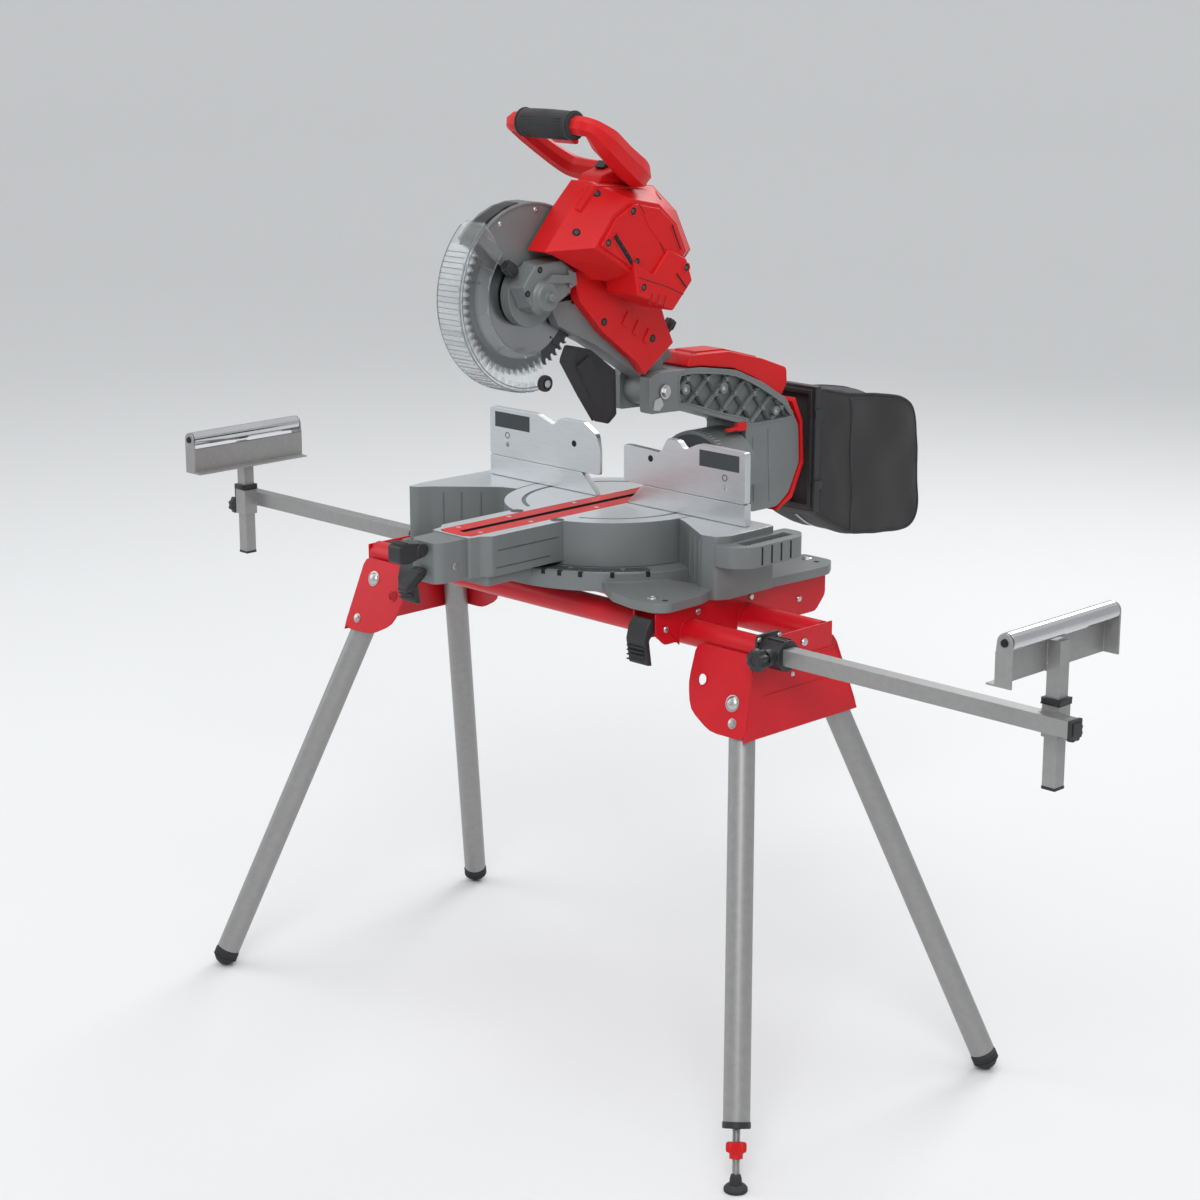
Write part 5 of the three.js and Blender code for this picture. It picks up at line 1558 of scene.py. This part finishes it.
# %% Pivot bolts and the rims of the lock holes
for row in ("front", "back"):
    out = Vector((0, math.cos(LEAN) * (1 if row == "back" else -1), math.sin(LEAN)))
    bolts, rims = [], []
    for side in ("left", "right"):
        pivot = leg_point(side, row, PIVOT_HEIGHTS[side]) + out * (LEG_RADIUS + 3.3)
        bolts.append(lathe([(0, 13), (1.0, 13), (1.2, 11), (3.2, 10), (5.6, 6.5), (6.4, 2.5)], pivot, out,
                           32))
        lower = leg_point(side, row, 628) + out * (LEG_RADIUS + 3.3)
        bolts.append(lathe([(0, 8), (0.8, 8), (1.0, 6.6), (3.4, 5.6), (4.2, 2)], lower, out, 24))
        sx = 1 if side == "right" else -1
        pin = leg_point(side, row, 678) + out * (LEG_RADIUS + 4.0)
        pin.x = sx * 357
        rise = out.cross(Vector((1, 0, 0)))
        angles = np.linspace(0, 2 * math.pi, 37)[:-1]
        around = [pin + Vector((HOLE_RADIUS * math.cos(t), 0, 0)) + rise * (HOLE_RADIUS * math.sin(t))
                  for t in angles]
        rims.append(bar(around, 0.9, 8, hint=out, closed=True))
    piece(f"pivot_bolts_{row}", bolts, "stand", STEEL, origin=FLOOR)
    piece(f"lock_hole_rims_{row}", rims, "stand", RED_COAT, origin=FLOOR)
print("pivot bolts and lock holes ready")

# %% Foot ribs and the levelling leg's collar
for side in ("left", "right"):
    for row in ("front", "back"):
        levelling = (side, row) == ("right", "front")
        foot, pivot = leg_point(side, row, 20), leg_point(side, row, PIVOT_HEIGHTS[side])
        up = (pivot - foot).normalized()
        body = f"{row}_{side}_leg"
        if levelling:
            ring = lathe([(0, 20.4), (1, 21.2), (9, 21.2), (10, 20.4)], foot + up * 71, up, 40)
            piece("levelling_collar", ring, body, BLACK_PLASTIC, origin=FLOOR)
            continue
        rib = [(0, 20.0), (0.8, 21.0), (2.4, 21.0), (3.2, 20.0)]
        rings = [lathe(rib, foot + up * (k * 5.0 - 6), up, 40) for k in range(3)]
        piece(f"foot_ribs_{row}_{side}", together(*rings), body, RUBBER, origin=FLOOR)
print("legs detailed")

# %% [markdown]
# ### Levelling foot
# One leg ends in a screw, so that the stand can be levelled on uneven ground: a stud, a knurled wheel and a
# pad. The thread is turned as a zigzag of rings. A true helix would look the same at this size and cost far
# more faces.
# %% Threaded stud, knurled wheel and pad
foot = leg_point("right", "front", 20)
up = (leg_point("right", "front", PIVOT_HEIGHTS["right"]) - foot).normalized()
thread = [(2, 5.6)] + [(3 + k * 0.9, 5.2 if k % 2 else 6.1) for k in range(100)] + [(108, 5.0)]
piece("levelling_stud", lathe(thread, foot, up, 16), "levelling_screw", STEEL, origin=FLOOR,
      stands_for=["levelling_foot"])
wheel = lathe([(36, 11), (37, 14.4), (40, 15.4), (48, 15.4), (51, 14.4), (52, 11)], foot, up, 96, 24, 1.3)
neck = lathe([(27, 8), (28, 10), (34, 10), (36.5, 12)], foot, up, 32)
piece("levelling_wheel", together(wheel, neck), "levelling_screw", RED_PLASTIC, origin=FLOOR)
base = Vector((foot.x, foot.y, 0))
pad = lathe([(0, 16), (1.2, 17.6), (5, 17.6), (8, 15), (11, 9.5), (19, 8.8), (25, 7.4), (27, 5)], base,
            (0, 0, 1), 40)
piece("levelling_pad", pad, "levelling_screw", RUBBER, origin=FLOOR)
print("levelling foot ready")

# %% [markdown]
# ### The two ends
# Each end has a plastic cap with a lock knob, a square arm, a post with its own knob, and a chrome roller
# on the post. Everything is drawn for the right end, and the left end is the same part turned half round
# about the upright axis. A mirror would be wrong: the arms slide out of different rails, one in front and
# one behind.
# %% Turning a detail to its end
def for_end(shape, side):
    return shape if side == "right" else half_turn(shape)

def end_place(place, side):
    """A point or a direction of the right end, turned for the end that is asked for."""
    return Vector(place) if side == "right" else Vector((-place[0], -place[1], place[2]))

def end_piece(name, side, shapes, body, material, bevel=0.0, segments=2):
    shape = for_end(together(*shapes), side)
    return piece(f"{name}_{side}", shape, body, material, origin=FLOOR, bevel=bevel, segments=segments)

ARM_Y, ARM_Z = -66, 739                   # the axis of the right arm and its rail
POST_X, POST_Y = 950, -39.7
ROLLER_X, ROLLER_Z = 951, 868.5
END_PLATE_X = 446.6
print("arm axis at", ARM_Y, ARM_Z)

# %% Lock knobs and rail caps
def dress_rail_cap(side):
    lobed_knob(f"arm_knob_moulding_{side}", end_place((472.6, -100.3, ARM_Z), side),
               end_place((0, -1, 0), side), 18, 23.5, f"arm_knob_{side}", FLOOR, [f"arm_lock_knob_{side}"], 8)
    lobed_knob(f"post_knob_moulding_{side}", end_place((964.4, -36, 725), side), end_place((1, 0, 0), side),
               16.5, 19.5, f"post_knob_{side}", FLOOR, [f"post_lock_knob_{side}"], 8)
    cap_screws = [screw((451.9, y, z), (1, 0, 0), 4.0, 2.0) for z in (725, 761) for y in (-88, -44)]
    end_piece("rail_cap_screws", side, cap_screws, "stand", STEEL)
    cap_ribs = [box(456, 484, ARM_Y - 24.8, ARM_Y - 23.2, z - 0.8, z + 0.8) for z in (731, 747)]
    cap_ribs += [box(456, 488, ARM_Y + a, ARM_Y + a + 1.6, ARM_Z + 22.6, ARM_Z + 24.6) for a in (-9, -1, 7)]
    end_piece("rail_cap_ribs", side, cap_ribs, "stand", BLACK_PLASTIC, bevel=0.5)

for side in ("left", "right"):
    dress_rail_cap(side)
print("rail caps dressed")

# %% Arms, posts and rollers
def dress_arm(side):
    arm, post, roller = f"extension_{side}", f"roller_post_{side}", f"roller_tube_{side}"
    tip = [box(997, 1003, -79.2, -52.8, 725.8, 752.2), box(1003, 1004.5, -75, -57, 730, 748)]
    end_piece("arm_end_cap", side, tip, arm, BLACK_PLASTIC, bevel=1.6, segments=3)
    plug = [box(938.4, 961.6, -51.3, -28.1, 636.5, 641.5),
            lathe([(0, 6), (2, 5)], (POST_X, POST_Y, 636.5), (0, 0, -1), 16)]
    end_piece("post_plug", side, plug, post, BLACK_PLASTIC, bevel=1.0)
    liner = [box(x0, x1, y0, y1, 759, 768.2) for x0, x1, y0, y1 in (
        (934.6, 938.4, -54.8, -24.6), (961.6, 965.4, -54.8, -24.6),
        (934.6, 965.4, -54.8, -51.2), (934.6, 965.4, -28.2, -24.6))]
    end_piece("sleeve_liner", side, liner, arm, BLACK_PLASTIC, bevel=0.6)
    # Painted shade: the axle ends are near black, like the shade in a bore.
    axle = [lathe([(0, 5.2), (2.2, 5.2), (3.2, 4.0)], (ROLLER_X, POST_Y + s * 125.6, ROLLER_Z), (0, s, 0), 24)
            for s in SIDES]
    end_piece("axle_ends", side, axle, roller, RECESS_SHADE)
    hub = [(0, 13.1), (1.0, 13.0), (1.2, 9), (0.4, 8.4), (0.4, 5.2)]
    hubs = [lathe(hub, (ROLLER_X, POST_Y + s * 121.3, ROLLER_Z), (0, s, 0), 40) for s in SIDES]
    end_piece("roller_hubs", side, hubs, roller, BLACK_PLASTIC)
    rivets = [screw((939.1, POST_Y + y, z), (1, 0, 0), 3.6, 1.6, False) for z in (816, 842) for y in (-8, 8)]
    end_piece("post_rivets", side, rivets, post, STEEL)
    weld = bar([(938.6, -51.2, 806), (938.6, -28.2, 806)], 1.6, 8)
    end_piece("post_weld", side, [weld], post, TUBE_SILVER)

for side in ("left", "right"):
    dress_arm(side)
print("arms, posts and rollers dressed")

# %% End plates
def dress_end_plate(side):
    bolts = [screw((END_PLATE_X, y, z), (1, 0, 0), 6.5, 3.6, False)
             for y, z in ((20, 736), (-8, 690), (8, 660))]
    end_piece("end_plate_bolts", side, bolts, "stand", STEEL)
    folds = [bar([(446.9, -92, 716), (446.9, 92, 716)], 1.5, 8),
             bar([(453.5, -76, 672), (453.5, 76, 672)], 1.0, 8)]
    end_piece("end_plate_folds", side, folds, "stand", RED_COAT)

for side in ("left", "right"):
    dress_end_plate(side)
print("ends detailed")

# %% [markdown]
# ### Mounting brackets
# The saw is bolted to two brackets that hook over both rails, each with a lever that lets it slide or lift
# off. They carry the wear strips, the row of slot holes and the rolled rims where the sheet sits on the
# round rails. The brackets move with the saw, so all of this rides the saw's base and only the levers have
# bodies of their own.
# %% Bracket screws, slides, rims and levers
BRACKET_X = 265
RAIL_Y, RAIL_Z = 66, 739
SADDLE_RADIUS = 21.4

def dress_mount(side, s):
    x = s * BRACKET_X
    bolts = [screw((x + face * 24.05, y, z), (face, 0, 0), 5.2, 2.8, False)
             for y, z in ((75, 768), (-47, 767), (-118, 752), (190, 744)) for face in SIDES]
    piece(f"bracket_screws_{side}", bolts, "saw_base", STEEL, origin=FLOOR)
    slides = [box(x - 11, x + 11, y0, y1, 781.9, 783.4) for y0, y1 in ((-60, 10), (70, 200))]
    piece(f"bracket_slides_{side}", slides, "saw_base", BLACK_PLASTIC, origin=FLOOR, bevel=0.5)
    # Painted shade: dark discs stand for the shaded holes in the slides.
    dots = [lathe([(0, 4), (0.2, 4)], (x, y, 783.35), (0, 0, 1), 16)
            for y in (-44, -18, 86, 112, 138, 164, 188)]
    piece(f"bracket_slide_holes_{side}", dots, "saw_base", RECESS_SHADE, origin=FLOOR)
    liners = []
    for sy in SIDES:
        arch = [math.radians(a) for a in range(0, 181, 15)]
        path = [(x - 24.6, sy * RAIL_Y + SADDLE_RADIUS * math.cos(t), RAIL_Z + SADDLE_RADIUS * math.sin(t))
                for t in arch]
        liners.append(bar(path, 1.1, 6))
    liners += [moved(part, (49.2, 0, 0)) for part in liners]
    piece(f"bracket_saddle_rims_{side}", liners, "saw_base", RED_COAT, origin=FLOOR)
    ridges = [box(x - 17, x + 17, -161.6, -158.2, z, z + 2.2) for z in (706, 713, 720, 727)]
    piece(f"lever_ridges_{side}", ridges, f"bracket_release_{side}", BLACK_PLASTIC, origin=FLOOR, bevel=0.6)

dress_mount("left", -1)
dress_mount("right", 1)
for name in ("bracket_lever_left", "bracket_lever_right", "mitre_lock_handle", "detent_lever"):
    soften(name, 2.0, 3)
print("stand dressed, pieces in all:", len(made))

# %% [markdown]
# ## Floor
# The floor is a plain pale sheet far wider than the view, turned up at its edge.
# It isn't part of the machine.
# %% Floor
def make_floor():
    """A flat disc that curves up into a low wall far away, so that no horizon shows."""
    profile = [(0, 0), (7.0, 0), (8.5, 0.12), (10.2, 0.65), (11.6, 1.7), (12.5, 3.2), (13.0, 5.5),
               (13.2, 9.0)]
    sides = 96
    verts = [(r * math.cos(2 * math.pi * k / sides), r * math.sin(2 * math.pi * k / sides), z)
             for r, z in profile[1:]
             for k in range(sides)]
    faces = [tuple(range(sides))]
    for ring in range(len(profile) - 2):
        for k in range(sides):
            a, b = ring * sides + k, ring * sides + (k + 1) % sides
            faces.append((a, a + sides, b + sides, b))
    data = bpy.data.meshes.new("floor")
    data.from_pydata(verts, [], faces)
    data.polygons.foreach_set("use_smooth", [True] * len(data.polygons))
    floor = bpy.data.objects.new("floor", data)
    bpy.context.collection.objects.link(floor)
    material, tree, shader = start_material("pale floor", (0.80, 0.805, 0.81), 0.7)
    shader.inputs["Specular IOR Level"].default_value = 0.15
    place = tree.nodes.new("ShaderNodeTexCoord").outputs["Object"]
    tree.links.new(spread(tree, noise(tree, place, 3.0), 0.6, 0.75), shader.inputs["Roughness"])
    data.materials.append(material)

make_floor()
print("floor laid")
